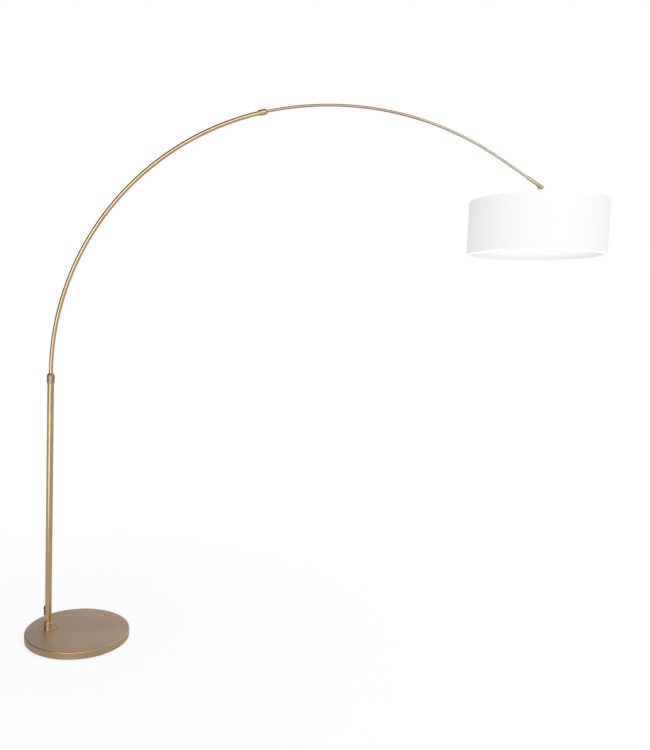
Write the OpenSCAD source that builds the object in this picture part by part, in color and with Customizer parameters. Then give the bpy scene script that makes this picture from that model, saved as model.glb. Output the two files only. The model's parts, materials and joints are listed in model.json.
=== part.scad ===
// Arc floor lamp: a weighted round base, a pole, an arc that telescopes in
// two places, and a drum shade on a knuckle. Units are millimetres.
// The arc lies in the XZ plane and reaches towards +X. The origin is at the
// centre of the base's underside, on the floor.

/* [Base] */
// Diameter of the base
base_d = 400; // [340:5:480]
// Height of the base's top above the floor
base_h = 28; // [26:0.5:40]
// Sheet thickness of the pressed cover
cover_t = 1.5; // [1:0.1:2]
// Radius of the cover's top edge
cover_round = 4; // [2.5:0.5:7]
// Thickness of the felt pad under the base
pad_t = 2; // [1:0.5:3]
// Thickness of the bottom plate
plate_t = 1.5; // [1:0.25:2.5]
// Thickness of the ballast's web
web_t = 12; // [9:0.5:12.5]
// Width of the ballast's thick rim
rim_w = 18; // [14:1:30]
// Thickness of the ballast over the stud's nut
seat_t = 5.5; // [4.5:0.5:6.5]
// Radius of the access hole under the stud
access_r = 31; // [26:1:36]
// Distance of the pole behind the base's centre
pole_offset = 115; // [90:5:140]
// Radius of the cord inlet's bore
inlet_r = 3.6; // [3:0.1:4.2]

/* [Pole] */
// Outside diameter of the pole
pole_d = 25; // [24:0.5:30]
// Wall of the pole
pole_t = 1.5; // [1:0.25:2]
// Outside diameter of the ferrule at the pole's foot
ferrule_d = 33; // [30:0.5:42]
// Height of the ferrule
ferrule_h = 27; // [18:1:40]
// Diameter of the hollow stud that holds the pole
stud_d = 16; // [14:0.5:18]
// Radius of the wire passage in the stud
stud_bore_r = 4; // [3:0.25:5]
// Height of the plug in the pole's foot
plug_h = 30; // [22:1:40]

/* [Switch] */
// Height of the switch's middle above the floor
switch_z = 100; // [90:1:160]
// Length of the switch's bezel
bezel_l = 39; // [34:1:44]
// Width of the switch's bezel
bezel_w = 13; // [12:0.5:15]
// Length of the rocker
rocker_l = 25.2; // [20:0.2:27]
// Width of the rocker
rocker_w = 6.6; // [5:0.2:7]
// Tilt of the rocker each way from level
rocker_tilt = 7; // [4:0.5:8]

/* [Arc] */
// Height above the floor at which the arc starts to bend
arc_z = 1030; // [800:5:1200]
// Outside diameter of the lower arc tube
stem_d = 16; // [15:0.25:17]
// Wall of the lower arc tube
stem_t = 1.5; // [1:0.1:1.8]
// Bending radius of the lower arc
arc_r = 1035; // [850:5:1200]
// Angle through which the lower arc is bent
arc_bend = 75.5; // [60:0.5:80]
// Outside diameter of the upper arc tube
upper_d = 10; // [9:0.25:10.5]
// Wall of the upper arc tube
upper_t = 1; // [0.8:0.1:1.3]
// Bending radius of the upper arc beyond the collar
upper_r = 1175; // [950:5:1400]
// Slope of the upper arc's straight end, below level
end_slope = 31.5; // [20:0.5:45]
// Length of the upper arc's straight end, up to the sleeve
tail_l = 128; // [60:1:200]
// Travel of the lower arc in the pole
height_travel = 250; // [100:5:350]
// Angle by which the upper arc slides out of the lower one
reach_travel = 14; // [6:0.5:18]
// Length of stem that stays in the pole at full height
stem_grip = 170; // [120:5:220]
// Length of upper tube that stays in the lower one at full reach
upper_grip = 70; // [50:5:110]

/* [Collars] */
// Outside diameter of the height collar
collar_d = 30; // [29:0.5:36]
// Height of the height collar
collar_h = 38; // [32:1:50]
// Outside diameter of the reach collar
reach_collar_d = 22; // [20.5:0.5:28]
// Length of the reach collar
reach_collar_l = 33; // [28:1:44]

/* [Knuckle] */
// Outside diameter of the sleeve at the arc's end
sleeve_d = 14; // [13:0.25:18]
// Length of the sleeve
sleeve_l = 72; // [64:1:90]
// Width of the slot for the tongue
slot_w = 5; // [4.5:0.1:6]
// Distance of the pivot from the sleeve's end
pivot_back = 20; // [8:0.5:24]
// Diameter of the knuckle's screw
screw_d = 4; // [3:0.25:4.5]
// Diameter of the hub under the tongue
hub_d = 16; // [15:0.5:20]
// Height of the hub
hub_h = 16; // [14:1:26]
// Outside diameter of the threaded nipple
nipple_d = 10; // [9:0.25:11]
// Free length of nipple between the hub and the lampholder
nipple_gap = 7.4; // [7:0.2:30]

/* [Lampholder] */
// Height of the lampholder's cap
cap_h = 20; // [16:1:26]
// Diameter of the cap
cap_d = 42; // [41:0.5:46]
// Height of the lampholder's upper body, down to the spider
body_h = 19; // [18:0.5:24]
// Diameter of the lampholder's threaded skirt
skirt_d = 39.5; // [38:0.5:40.5]
// Length of the lampholder's threaded skirt
skirt_l = 27; // [24:1:34]
// Diameter of the bulb's screw cap
bulb_cap_d = 26.4; // [25:0.2:26.6]
// Diameter of the bulb
bulb_d = 60; // [45:1:70]
// Length of the bulb below its screw cap
bulb_l = 78; // [66:1:90]

/* [Shade] */
// Outside diameter of the shade
shade_d = 500; // [400:5:560]
// Height of the shade
shade_h = 205; // [170:5:260]
// Thickness of the covering fabric
fabric_t = 0.8; // [0.5:0.1:1.2]
// Thickness of the liner
liner_t = 0.6; // [0.4:0.1:1]
// Diameter of the shade's wire rings
wire_d = 4; // [3:0.25:5]
// Depth of the turned-in hem
hem_h = 10; // [8:0.5:16]
// Depth of the spider's hub below the shade's top
spider_recess = 23; // [14:1:40]
// Number of the spider's spokes
spokes = 3; // [3:1:4]

/* [Hidden] */
$fn = 64;

// Fineness of long bends and of large rings
BEND_FN = 720;
RING_FN = 180;

// Clearances
fit = 0.05;      // a shaft in its bearing, at the radius
slide = 0.04;    // a tube in its guide, at the radius
free = 0.35;     // pieces that move past each other
joint_gap = 0.1; // pieces that are put together and stay put
cut = 1;         // how far a cutting shape runs past a face
hair = 0.02;     // how much thinner a tube's next stretch is drawn
seam = 0.5;      // how far that stretch runs into the one before

// Colours
bronze = [0.55, 0.46, 0.36];
brass = [0.66, 0.52, 0.31];
iron = [0.22, 0.22, 0.23];
steel = [0.70, 0.70, 0.72];
black = [0.08, 0.08, 0.08];
nylon = [0.88, 0.87, 0.82];
cream = [0.93, 0.90, 0.84];
white = [0.96, 0.96, 0.95];

// ---- Radii that several pieces share
base_r = base_d / 2;
cover_in_r = base_r - cover_t;
pole_r = pole_d / 2;
pole_in_r = pole_r - pole_t;
ferrule_r = ferrule_d / 2;
stud_r = stud_d / 2;
stem_r = stem_d / 2;
stem_in_r = stem_r - stem_t;
upper_tube_r = upper_d / 2;
upper_in_r = upper_tube_r - upper_t;
sleeve_r = sleeve_d / 2;
flex_r = 1.8;

// ---- Heights in the base
cover_z = pad_t;
plate_z = pad_t;
ballast_z = plate_z + plate_t;
ballast_top = base_h - cover_t;
web_z = ballast_top - web_t;
seat_z = ballast_top - seat_t;
washer_t = 2;
nut_h = 5;
nut_z = seat_z - washer_t - nut_h;
ballast_r = cover_in_r - 1;
ballast_chamfer = cover_round;

// ---- The cord inlet at the base's rear
flange_r = 6;
flange_t = 1.8;
inlet_wall = 1.35;
inlet_z = cover_z + flange_r + 0.5;
grommet_nose = 4.6;
inlet_w = 22;
inlet_cut_l = 30;
inlet_top = web_z - 0.5;
wall_sag = cover_in_r - sqrt(cover_in_r * cover_in_r - flange_r * flange_r);
clamp_x = -(ballast_r - 11);
clamp_l = 10;
block_l = 22;
block_x = clamp_x + clamp_l / 2 + 6 + block_l / 2;
lead_z = ballast_z + flex_r + 1.7;
plate_gap = 0.5;

// ---- The bottom plate's screws
plate_screw_r = 2;
plate_screw_head_r = 4;
plate_screw_l = 9;
plate_screw_ring = ballast_r - rim_w / 2;
plate_screw_turns = [45, 135, 225, 315];

// ---- The pole and what is in it
plug_top = base_h + plug_h;
stud_top = plug_top - 5;
pole_top = arc_z - 18;
stem_len = height_travel + stem_grip;
stem_z = arc_z - stem_len;
bush_h = 30;
clip_t = 2;
clip_r = pole_in_r - 0.8;
clip_rise = 4;
coil_z = switch_z + 40;
coil_in_r = 5;
coil_gap = 0.6;
flex_shift = pole_in_r - flex_r - 2.2;
flex_bend_r = 15;
flex_past = 4;

// ---- The height collar and its collet
flange_h = 4;
thread_h = 5;
finger_h = 5;
slit_w = 1;
collar_z = arc_z - collar_h;

// ---- The arc's two centres and the points on it
arc_c = [arc_r - pole_offset, arc_z];
reach_tip = reach_collar_l * 0.55;
upper_start = arc_bend + deg(reach_tip, arc_r);
upper_c = on_arc(upper_start) + upper_r * [cos(upper_start), -sin(upper_start)];
upper_end = 90 + end_slope;
upper_in = arc_bend - reach_travel - deg(upper_grip, arc_r);
guide_l = 20;
collet_plug_l = 20;

// ---- The sleeve and the knuckle
sleeve_start = on_upper(upper_end) + tail_l * along(upper_end);
pivot = sleeve_start + (sleeve_l - pivot_back) * along(upper_end);
tube_seat = sleeve_l / 2;
screw_r = screw_d / 2;
screw_seat = sleeve_r - 0.8;
head_r = screw_r + 1.75;
tongue_r = 5.3;
slot_clear = 2.7;
slot_l = pivot_back + tongue_r + slot_clear;
tongue_t = slot_w - 2 * 0.3;
shank_w = 7;
ear_reach = sqrt(pivot_back * pivot_back + sleeve_r * sleeve_r);
hub_drop = ear_reach + 1.4;
hub_r = hub_d / 2;
nipple_r = nipple_d / 2;
nipple_in_r = nipple_r - 1.5;
nipple_in_hub = 10;
nipple_in_cap = 12;
lock_nut_h = 3;
lock_nut_r = nipple_r + 3;

// ---- Heights of the head, from the knuckle down
hub_top = pivot[1] - hub_drop;
hub_z = hub_top - hub_h;
cap_top = hub_z - nipple_gap;
cap_z = cap_top - cap_h;
body_z = cap_z - body_h;
skirt_r = skirt_d / 2;
skirt_z = body_z - skirt_l;
shell_r = 14.7;
shell_t = 1;
insert_z = body_z + 5;
insert_t = 2;
spider_t = 2;
spider_z = body_z - spider_t;
spider_hub_r = skirt_r + 7.25;
ring_h = 9;
ring_r = skirt_r + 8.25;
shade_top = spider_z + spider_recess + spider_t;
shade_z = shade_top - shade_h;
shade_r = shade_d / 2;
liner_r = shade_r - fabric_t;
wire_r = wire_d / 2;
wire_ring_r = liner_r - liner_t - joint_gap - wire_r;
hem_t = 0.6;
hem_r = wire_ring_r - wire_r - joint_gap;
spoke_r = 1.8;
spoke_turn = 90;

// ---- The bulb
bulb_cap_r = bulb_cap_d / 2;
bulb_cap_l = 24;
bulb_cap_z = body_z - bulb_cap_l;
contact_z = bulb_cap_z + bulb_cap_l + 2;
bulb_r = bulb_d / 2;
bulb_c = bulb_cap_z - bulb_l + bulb_r;
glass_t = 0.8;

// Angle in degrees of a length along a bend
function deg(length, r) = length / r * 180 / PI;
// Point on the lower arc, by the angle from where it starts
function on_arc(a) = arc_c + arc_r * [-cos(a), sin(a)];
// Point on the upper arc, by the same angle
function on_upper(a) = upper_c + upper_r * [-cos(a), sin(a)];
// Direction of the arc at an angle
function along(a) = [sin(a), cos(a)];

// Places children at a point of the arc's plane, with +Z along the arc
module at(p, a = 0) {
    translate([p[0], 0, p[1]]) rotate([0, a, 0]) children();
}

// Sweeps a flat section round a centre in the arc's plane
module bend(c, r, from, to) {
    translate([c[0], 0, c[1]]) rotate([90, 0, 0]) mirror([1, 0, 0])
        rotate([0, 0, from]) rotate_extrude(angle = to - from, $fn = BEND_FN)
            translate([r, 0]) children();
}

// Places children on the pole's axis
module on_pole(z = 0) {
    translate([-pole_offset, 0, z]) children();
}

// Places children on the head's axis
module on_head(z = 0) {
    translate([pivot[0], 0, z]) children();
}

// Upright tube
module tube(outer, inner, h) {
    difference() {
        cylinder(r = outer, h = h);
        translate([0, 0, -cut]) cylinder(r = inner, h = h + 2 * cut);
    }
}

// Half section of a disc with a rounded top edge
module disc_section(r, h, round) {
    square([r - round, h]);
    square([r, h - round]);
    translate([r - round, h - round]) circle(r = round, $fn = 48);
}

// Hexagonal nut with a round hole
module nut(flat_r, hole_r, h) {
    difference() {
        cylinder(r = flat_r / cos(30), h = h, $fn = 6);
        translate([0, 0, -cut]) cylinder(r = hole_r, h = h + 2 * cut);
    }
}

// ---- Base

module floor_pad() {
    color(black) difference() {
        cylinder(r = cover_in_r - 1.5, h = pad_t, $fn = RING_FN);
        on_pole(-cut) cylinder(r = access_r, h = pad_t + 2 * cut);
    }
}

module plate_screw_shank() {
    cylinder(r = plate_screw_r, h = plate_t + plate_screw_l);
}

module plate_screw() {
    cylinder(r1 = plate_screw_head_r, r2 = plate_screw_r, h = plate_t);
    plate_screw_shank();
}

module plate_screw_places() {
    for (turn = plate_screw_turns)
        rotate([0, 0, turn]) translate([plate_screw_ring, 0, plate_z]) children();
}

module plate_screws() {
    color(steel) plate_screw_places() plate_screw();
}

module bottom_plate() {
    color(iron) difference() {
        translate([0, 0, plate_z])
            cylinder(r = cover_in_r - joint_gap, h = plate_t, $fn = RING_FN);
        on_pole(plate_z - cut) cylinder(r = access_r, h = plate_t + 2 * cut);
        plate_screw_places() plate_screw();
    }
}

module ballast() {
    color(iron) difference() {
        translate([0, 0, ballast_z]) rotate_extrude($fn = RING_FN)
            ballast_section();
        on_pole(ballast_z - cut)
            cylinder(r = access_r, h = seat_z - ballast_z + cut);
        on_pole(seat_z - cut)
            cylinder(r = stud_r + joint_gap, h = seat_t + 2 * cut);
        translate([-ballast_r - cut, -inlet_w / 2, ballast_z - cut])
            cube([inlet_cut_l + cut, inlet_w, inlet_top - ballast_z + cut]);
        plate_screw_places() plate_screw_shank();
    }
}

module ballast_section() {
    h = ballast_top - ballast_z;
    web = web_z - ballast_z;
    polygon([
        [0, web], [ballast_r - rim_w, web], [ballast_r - rim_w, 0],
        [ballast_r, 0], [ballast_r, h - ballast_chamfer],
        [ballast_r - ballast_chamfer, h], [0, h]
    ]);
}

module base_cover() {
    h = base_h - cover_z;
    seat_ring_r = 35;
    seat_ring_w = 1.2;
    seat_ring_deep = 0.5;
    color(bronze) difference() {
        translate([0, 0, cover_z]) rotate_extrude($fn = RING_FN) difference() {
            disc_section(base_r, h, cover_round);
            translate([0, -cut])
                disc_section(cover_in_r, h - cover_t + cut, cover_round - cover_t);
        }
        on_pole(ballast_top - cut)
            cylinder(r = stud_r + joint_gap, h = cover_t + 2 * cut);
        on_pole(base_h - seat_ring_deep)
            tube(seat_ring_r + seat_ring_w, seat_ring_r, seat_ring_deep + cut);
        translate([-base_r - cut, 0, inlet_z]) rotate([0, 90, 0])
            cylinder(r = inlet_r + inlet_wall, h = 2 * cover_t + cut);
    }
}

module cord_grommet() {
    outer_x = -base_r - flange_t;
    inner_x = -cover_in_r + wall_sag;
    total = inner_x + flange_t + grommet_nose - outer_x;
    inner_low = ballast_z + joint_gap;
    color(black) difference() {
        union() {
            at_inlet(outer_x) cylinder(r = flange_r, h = flange_t);
            at_inlet(outer_x) cylinder(r = inlet_r + inlet_wall, h = total);
            intersection() {
                at_inlet(inner_x) cylinder(r = flange_r, h = flange_t);
                translate([inner_x - cut, -flange_r - cut, inner_low])
                    cube([2 * flange_t + cut, 2 * (flange_r + cut),
                          inlet_top - joint_gap - inner_low]);
            }
        }
        at_inlet(outer_x - cut) cylinder(r = inlet_r, h = total + 2 * cut);
    }
}

// Places children on the inlet's axis, with +Z towards the base's middle
module at_inlet(x) {
    translate([x, 0, inlet_z]) rotate([0, 90, 0]) children();
}

module cord_clamp() {
    clamp_screw_r = 1.5;
    screw_deep = 5;
    half_w = inlet_r + 2 * clamp_screw_r + 2.4;
    color(black) difference() {
        translate([clamp_x - clamp_l / 2, -half_w, ballast_z + plate_gap])
            cube([clamp_l, 2 * half_w, inlet_top - ballast_z - plate_gap]);
        translate([clamp_x - clamp_l, 0, inlet_z]) rotate([0, 90, 0])
            cylinder(r = inlet_r, h = 2 * clamp_l);
        for (side = [-1, 1])
            translate([clamp_x, side * (inlet_r + clamp_screw_r + 1), ballast_z])
                cylinder(r = clamp_screw_r, h = screw_deep);
    }
}

module terminal_block() {
    block_w = 16;
    lead_gap = 8;
    lead_hole_r = 1.6;
    screw_deep = 2;
    color(nylon) difference() {
        translate([block_x - block_l / 2, -block_w / 2, ballast_z + plate_gap])
            cube([block_l, block_w, web_z - ballast_z - plate_gap]);
        for (side = [-1, 1])
            translate([block_x - block_l, side * lead_gap / 2, inlet_z])
                rotate([0, 90, 0]) cylinder(r = lead_hole_r, h = block_l);
        for (x = [-block_l / 4, block_l / 4], side = [-1, 1])
            translate([block_x + x, side * lead_gap / 2, ballast_z])
                cylinder(r = lead_hole_r, h = screw_deep);
    }
}

module stud_nut() {
    color(steel) on_pole(nut_z) nut(stud_r + 4, stud_r, nut_h);
}

module stud_washer() {
    color(steel) on_pole(nut_z + nut_h)
        tube(stud_r + 10, stud_r + joint_gap, washer_t);
}

module foot_stud() {
    color(steel) on_pole(nut_z) tube(stud_r, stud_bore_r, stud_top - nut_z);
}

// ---- Pole

module pole_plug() {
    color(steel) on_pole() difference() {
        translate([0, 0, base_h]) cylinder(r = pole_in_r, h = plug_h);
        translate([0, 0, base_h - cut]) cylinder(r = stud_r, h = stud_top - base_h + cut);
        translate([0, 0, base_h]) cylinder(r = stud_bore_r, h = plug_h + cut);
    }
}

module foot_ferrule() {
    edge = 2.5;
    wall = ferrule_r - pole_r;
    color(brass) on_pole(base_h) rotate_extrude() translate([pole_r, 0])
        disc_section(wall, ferrule_h, min(edge, wall / 2));
}

module pole_tube() {
    color(brass) difference() {
        on_pole(base_h) tube(pole_r, pole_in_r, pole_top - base_h);
        switch_slot();
    }
}

// ---- Switch, on the pole's rear

rocker_r = rocker_l / 2;
rocker_rise = 3.2;
rocker_dish = 1.5;
rocker_deep = 1.6;
rocker_pin_r = 1.2;
rocker_pin_l = 0.7;
rocker_gap = 0.3;
rocker_end_gap = 0.4;
bezel_rise = 2.9;
rocker_out = pole_r - 0.5;
body_half_w = rocker_w / 2 + rocker_gap + 0.8;
body_half_l = rocker_r + rocker_end_gap + 2;
body_deep = 11.5;

// Places children with +X pointing out of the pole's rear
module at_switch() {
    on_pole(switch_z) rotate([0, 0, 180]) children();
}

module switch_slot() {
    at_switch() translate([pole_in_r / 2, -body_half_w, -body_half_l])
        cube([pole_r, 2 * body_half_w, 2 * body_half_l]);
}

module switch_housing() {
    window_w = rocker_w + 2 * rocker_gap;
    window_l = rocker_l + 2 * rocker_end_gap;
    window_deep = rocker_deep + rocker_r * sin(rocker_tilt) + 1.5;
    straight = bezel_l - bezel_w;
    color(black) at_switch() difference() {
        union() {
            difference() {
                intersection() {
                    translate([0, -bezel_w / 2, -bezel_l / 2])
                        cube([pole_r + bezel_rise, bezel_w, bezel_l]);
                    union() {
                        translate([0, -bezel_w / 2, -straight / 2])
                            cube([2 * pole_r, bezel_w, straight]);
                        for (end = [-1, 1])
                            translate([0, 0, end * straight / 2]) rotate([0, 90, 0])
                                cylinder(r = bezel_w / 2, h = 2 * pole_r);
                    }
                }
                translate([0, 0, -bezel_l]) cylinder(r = pole_r, h = 2 * bezel_l);
            }
            translate([pole_r - body_deep, -body_half_w, -body_half_l])
                cube([body_deep + bezel_rise / 2, 2 * body_half_w, 2 * body_half_l]);
        }
        translate([rocker_out - window_deep, -window_w / 2, -window_l / 2])
            cube([2 * pole_r, window_w, window_l]);
        translate([rocker_out, -window_w / 2 - rocker_pin_l, 0]) rotate([-90, 0, 0])
            cylinder(r = rocker_pin_r + fit, h = window_w + 2 * rocker_pin_l);
    }
}

module switch_terminals() {
    blade = [3.5, 2.4, 0.8];
    spread = 8;
    color(brass) at_switch() for (z = [-spread, 0, spread])
        translate([pole_r - body_deep - blade[0], -blade[1] / 2, z - blade[2] / 2])
            cube(blade);
}

// The rocker rests with its upper end out and its lower end pressed in
module switch_rocker() {
    pin_span = rocker_w + 2 * (rocker_gap + rocker_pin_l) - 0.4;
    color(black) at_switch() translate([rocker_out, 0, 0])
        rotate([0, rocker_tilt, 0]) {
            rotate([90, 0, 0]) translate([0, 0, -rocker_w / 2])
                linear_extrude(height = rocker_w) intersection() {
                    circle(r = rocker_r, $fn = 96);
                    polygon([
                        [-rocker_deep, -rocker_l], [rocker_rise + rocker_dish, -rocker_r],
                        [rocker_rise, 0], [rocker_rise + rocker_dish, rocker_r],
                        [-rocker_deep, rocker_l]
                    ]);
                }
            translate([0, -pin_span / 2, 0]) rotate([-90, 0, 0])
                cylinder(r = rocker_pin_r, h = pin_span);
        }
}

// ---- Height lock at the pole's top

// Half section of a split collet: flange, thread and tapered fingers. It
// starts at the core's radius, which may lie inside a bore that is cut later
module collet_section(core, bore, flange, flange_h, thread_h, finger_h) {
    wall = flange - bore;
    thread_r = bore + wall * 0.8;
    root_r = bore + wall * 0.55;
    tip_r = bore + wall * 0.3;
    finger_z = flange_h + thread_h;
    translate([core, 0]) square([flange - core, flange_h]);
    translate([core, 0]) square([thread_r - core, finger_z]);
    polygon([
        [core, finger_z - 0.5], [root_r, finger_z - 0.5], [root_r, finger_z],
        [tip_r, finger_z + finger_h], [core, finger_z + finger_h]
    ]);
}

// Two crossed slits that make the fingers spring
module finger_slits(r, h) {
    for (turn = [0, 90]) rotate([0, 0, turn])
        translate([-r, -slit_w / 2, 0]) cube([2 * r, slit_w, h]);
}

module pole_collet() {
    bore = stem_r + slide;
    plug_l = 30;
    color(nylon) on_pole(pole_top) difference() {
        union() {
            translate([0, 0, -plug_l]) tube(pole_in_r, bore, plug_l);
            rotate_extrude() collet_section(bore, bore, pole_r - fit, flange_h,
                                            thread_h, finger_h);
        }
        translate([0, 0, flange_h + 2]) finger_slits(pole_r, thread_h + finger_h);
    }
}

// Half section of a twist collar, z from its lower end, with the bearing
// bore below and an inner cone above that closes the fingers
module collar_section(r, l, skirt_r, bearing_r, bearing_z, cone_z, mouth_r, tip_r) {
    chamfer = 1.4;
    tip_h = 7 * l / 38;
    lip = 1.2;
    polygon([
        [skirt_r, 0], [r - chamfer, 0], [r, chamfer], [r, l - tip_h],
        [tip_r, l], [mouth_r, l], [mouth_r, l - lip],
        [bearing_r - 0.3, cone_z], [bearing_r, cone_z], [bearing_r, bearing_z],
        [skirt_r, bearing_z]
    ]);
}

module height_collar() {
    bearing_r = pole_r + fit;
    cone_z = pole_top + flange_h + thread_h + 0.8 - collar_z;
    color(brass) on_pole(collar_z) rotate_extrude(convexity = 4)
        collar_section(collar_d / 2, collar_h, bearing_r, bearing_r, cone_z / 2,
                       cone_z, stem_r + 0.5, stem_r + 2);
}

// ---- Lower arc: a straight stem in the pole and a bent part above it

module stem_bush() {
    color(nylon) on_pole(stem_z + clip_rise + clip_t + free)
        tube(pole_in_r - slide, stem_r + slide, bush_h);
}

module stem_clips() {
    color(steel) for (z = [0, clip_t + 2 * free + bush_h])
        on_pole(stem_z + clip_rise + z) tube(clip_r, stem_r, clip_t);
}

module stem_shape(r, over = 0) {
    on_pole(stem_z - over) cylinder(r = r - hair, h = stem_len + over + seam);
    bend(arc_c, arc_r, 0, arc_bend + deg(over, arc_r)) circle(r = r);
}

module lower_arc_tube() {
    color(brass) difference() {
        stem_shape(stem_r);
        stem_shape(stem_in_r, cut);
    }
}

// The reach lock's collet, plugged into the lower arc's end
module arc_collet() {
    bore = upper_tube_r + slide;
    plug = deg(collet_plug_l, arc_r);
    color(nylon) difference() {
        union() {
            bend(arc_c, arc_r, arc_bend - plug, arc_bend) circle(r = stem_in_r);
            at(on_arc(arc_bend), arc_bend) rotate_extrude()
                collet_section(0, bore, stem_r, 3, 4, 5);
        }
        bend(arc_c, arc_r, arc_bend - 2 * plug, arc_bend + plug) circle(r = bore);
        at(on_arc(arc_bend), arc_bend) translate([0, 0, 4.5])
            finger_slits(stem_r, 9);
    }
}

module reach_collar() {
    back = reach_collar_l - reach_tip;
    color(brass) at(on_arc(arc_bend), arc_bend) translate([0, 0, -back])
        rotate_extrude(convexity = 4)
            collar_section(reach_collar_d / 2, reach_collar_l, stem_r + 0.5,
                           stem_r + fit, back - 0.5, back + 8,
                           upper_tube_r + 0.75, upper_tube_r + 2);
}

// ---- Upper arc

// The first stretch shares the lower arc's centre, so that it slides in it
module upper_shape(r, offset = 0, over = 0) {
    bend(arc_c, arc_r - offset, upper_in - deg(over, arc_r),
         upper_start + deg(seam, arc_r)) circle(r = r - hair);
    bend(upper_c, upper_r - offset, upper_start, upper_end) circle(r = r);
    at(on_upper(upper_end), upper_end) translate([offset, 0, -seam])
        cylinder(r = r - hair, h = seam + tail_l + tube_seat + over);
}

module upper_arc_tube() {
    color(brass) difference() {
        upper_shape(upper_tube_r);
        upper_shape(upper_in_r, 0, cut);
    }
}

module tube_guide() {
    color(nylon) difference() {
        bend(arc_c, arc_r, upper_in, upper_in + deg(guide_l, arc_r))
            circle(r = stem_in_r - slide);
        bend(arc_c, arc_r, upper_in - 1, upper_in + 2 * deg(guide_l, arc_r))
            circle(r = upper_tube_r);
    }
}

module end_sleeve() {
    edge = 1.2;
    color(brass) at(sleeve_start, upper_end) difference() {
        rotate_extrude() disc_section(sleeve_r, sleeve_l, edge);
        translate([0, 0, -cut]) cylinder(r = upper_tube_r, h = tube_seat + cut);
        cylinder(r = upper_in_r, h = sleeve_l - slot_l + cut);
        translate([-2 * sleeve_r, -slot_w / 2, sleeve_l - slot_l])
            cube([4 * sleeve_r, slot_w, slot_l + cut]);
        translate([0, -2 * sleeve_r, sleeve_l - pivot_back]) rotate([-90, 0, 0])
            cylinder(r = screw_r, h = 4 * sleeve_r);
        for (side = [0, 180]) rotate([0, 0, side])
            translate([0, screw_seat, sleeve_l - pivot_back]) rotate([-90, 0, 0])
                cylinder(r = head_r + 0.5, h = sleeve_r);
        grub_place() translate([0, 0, -cut]) cylinder(r = 1.5, h = sleeve_r);
    }
}

// The grub screw bears on the tube from the sleeve's underside
module grub_place() {
    translate([upper_tube_r, 0, tube_seat / 2]) rotate([0, 90, 0]) children();
}

module sleeve_grub_screw() {
    l = sleeve_r - upper_tube_r - 0.2;
    color(steel) at(sleeve_start, upper_end) grub_place() difference() {
        cylinder(r = 1.5, h = l);
        translate([0, 0, l - 0.9]) cylinder(r = 0.85, h = 1, $fn = 6);
    }
}

// ---- Knuckle

module at_pivot() {
    translate([pivot[0], 0, pivot[1]]) children();
}

module knuckle_screw() {
    head_h = 2.2;
    tail = 2.6;
    color(steel) at_pivot() rotate([-90, 0, 0]) {
        translate([0, 0, -screw_seat]) cylinder(r = screw_r, h = 2 * screw_seat + tail);
        translate([0, 0, -screw_seat - head_h]) difference() {
            cylinder(r = head_r, h = head_h);
            translate([0, 0, -cut]) cylinder(r = 1.3, h = 1.2 + cut, $fn = 6);
        }
    }
}

module knuckle_nut() {
    color(steel) at_pivot() rotate([-90, 0, 0]) translate([0, 0, screw_seat])
        nut(head_r - 0.25, screw_r, 2.6);
}

module knuckle_tongue() {
    lead_r = 1.9;
    hub_chamfer = 2;
    color(brass) difference() {
        union() {
            at_pivot() rotate([90, 0, 0]) translate([0, 0, -tongue_t / 2])
                cylinder(r = tongue_r, h = tongue_t);
            at_pivot() translate([-shank_w / 2, -tongue_t / 2, -hub_drop - seam])
                cube([shank_w, tongue_t, hub_drop + seam]);
            on_head(hub_z) rotate_extrude() polygon([
                [0, 0], [hub_r, 0], [hub_r, hub_h - hub_chamfer],
                [hub_r - hub_chamfer, hub_h], [0, hub_h]
            ]);
        }
        at_pivot() rotate([90, 0, 0]) translate([0, 0, -tongue_t])
            cylinder(r = screw_r + fit, h = 2 * tongue_t);
        on_head(hub_z - cut) cylinder(r = nipple_r, h = nipple_in_hub + cut);
        on_head(hub_z) cylinder(r = nipple_in_r, h = hub_h - 3.5);
        on_head(hub_z + nipple_in_hub) translate([0, hub_r - lead_r - 1.2, 0])
            cylinder(r = lead_r, h = hub_h);
    }
}

module lamp_nipple() {
    l = nipple_in_hub + nipple_gap + nipple_in_cap;
    color(brass) on_head(cap_top - nipple_in_cap) tube(nipple_r, nipple_in_r, l);
}

module nipple_nuts() {
    color(brass) {
        on_head(hub_z - lock_nut_h) nut(lock_nut_r, nipple_r, lock_nut_h);
        on_head(cap_top) nut(lock_nut_r, nipple_r, lock_nut_h);
    }
}

// ---- Lampholder

module holder_cap() {
    neck_r = nipple_r + 4;
    neck_h = 5;
    shoulder = 6;
    wall = 2.2;
    color(black) on_head(cap_z) rotate_extrude() difference() {
        union() {
            disc_section(cap_d / 2, cap_h - neck_h, shoulder);
            square([neck_r, cap_h]);
        }
        translate([0, -cut])
            disc_section(cap_d / 2 - wall, cap_h - neck_h - wall + cut, shoulder - wall);
        square([nipple_r, cap_h + cut]);
    }
}

module lampholder() {
    rim_r = cap_d / 2 + 1.5;
    bore_r = 17;
    color(black) on_head() difference() {
        union() {
            translate([0, 0, body_z]) cylinder(r = cap_d / 2, h = body_h);
            translate([0, 0, body_z]) cylinder(r = rim_r, h = 2.5);
            translate([0, 0, skirt_z]) cylinder(r = skirt_r, h = skirt_l);
        }
        translate([0, 0, skirt_z - cut])
            cylinder(r = shell_r, h = insert_z - skirt_z + cut);
        translate([0, 0, insert_z - cut]) cylinder(r = 12, h = insert_t + 2 * cut);
        translate([0, 0, insert_z + insert_t]) cylinder(r = bore_r, h = body_h);
    }
}

module holder_insert() {
    color(white) on_head() difference() {
        union() {
            translate([0, 0, insert_z + insert_t]) cylinder(r = 16.9, h = 4.5);
            translate([0, 0, insert_z]) cylinder(r = 11.9, h = insert_t);
        }
        for (side = [-1, 1]) translate([side * 9, 0, insert_z - cut])
            cylinder(r = 1.5, h = 3 + insert_t + 4.5);
    }
}

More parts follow.
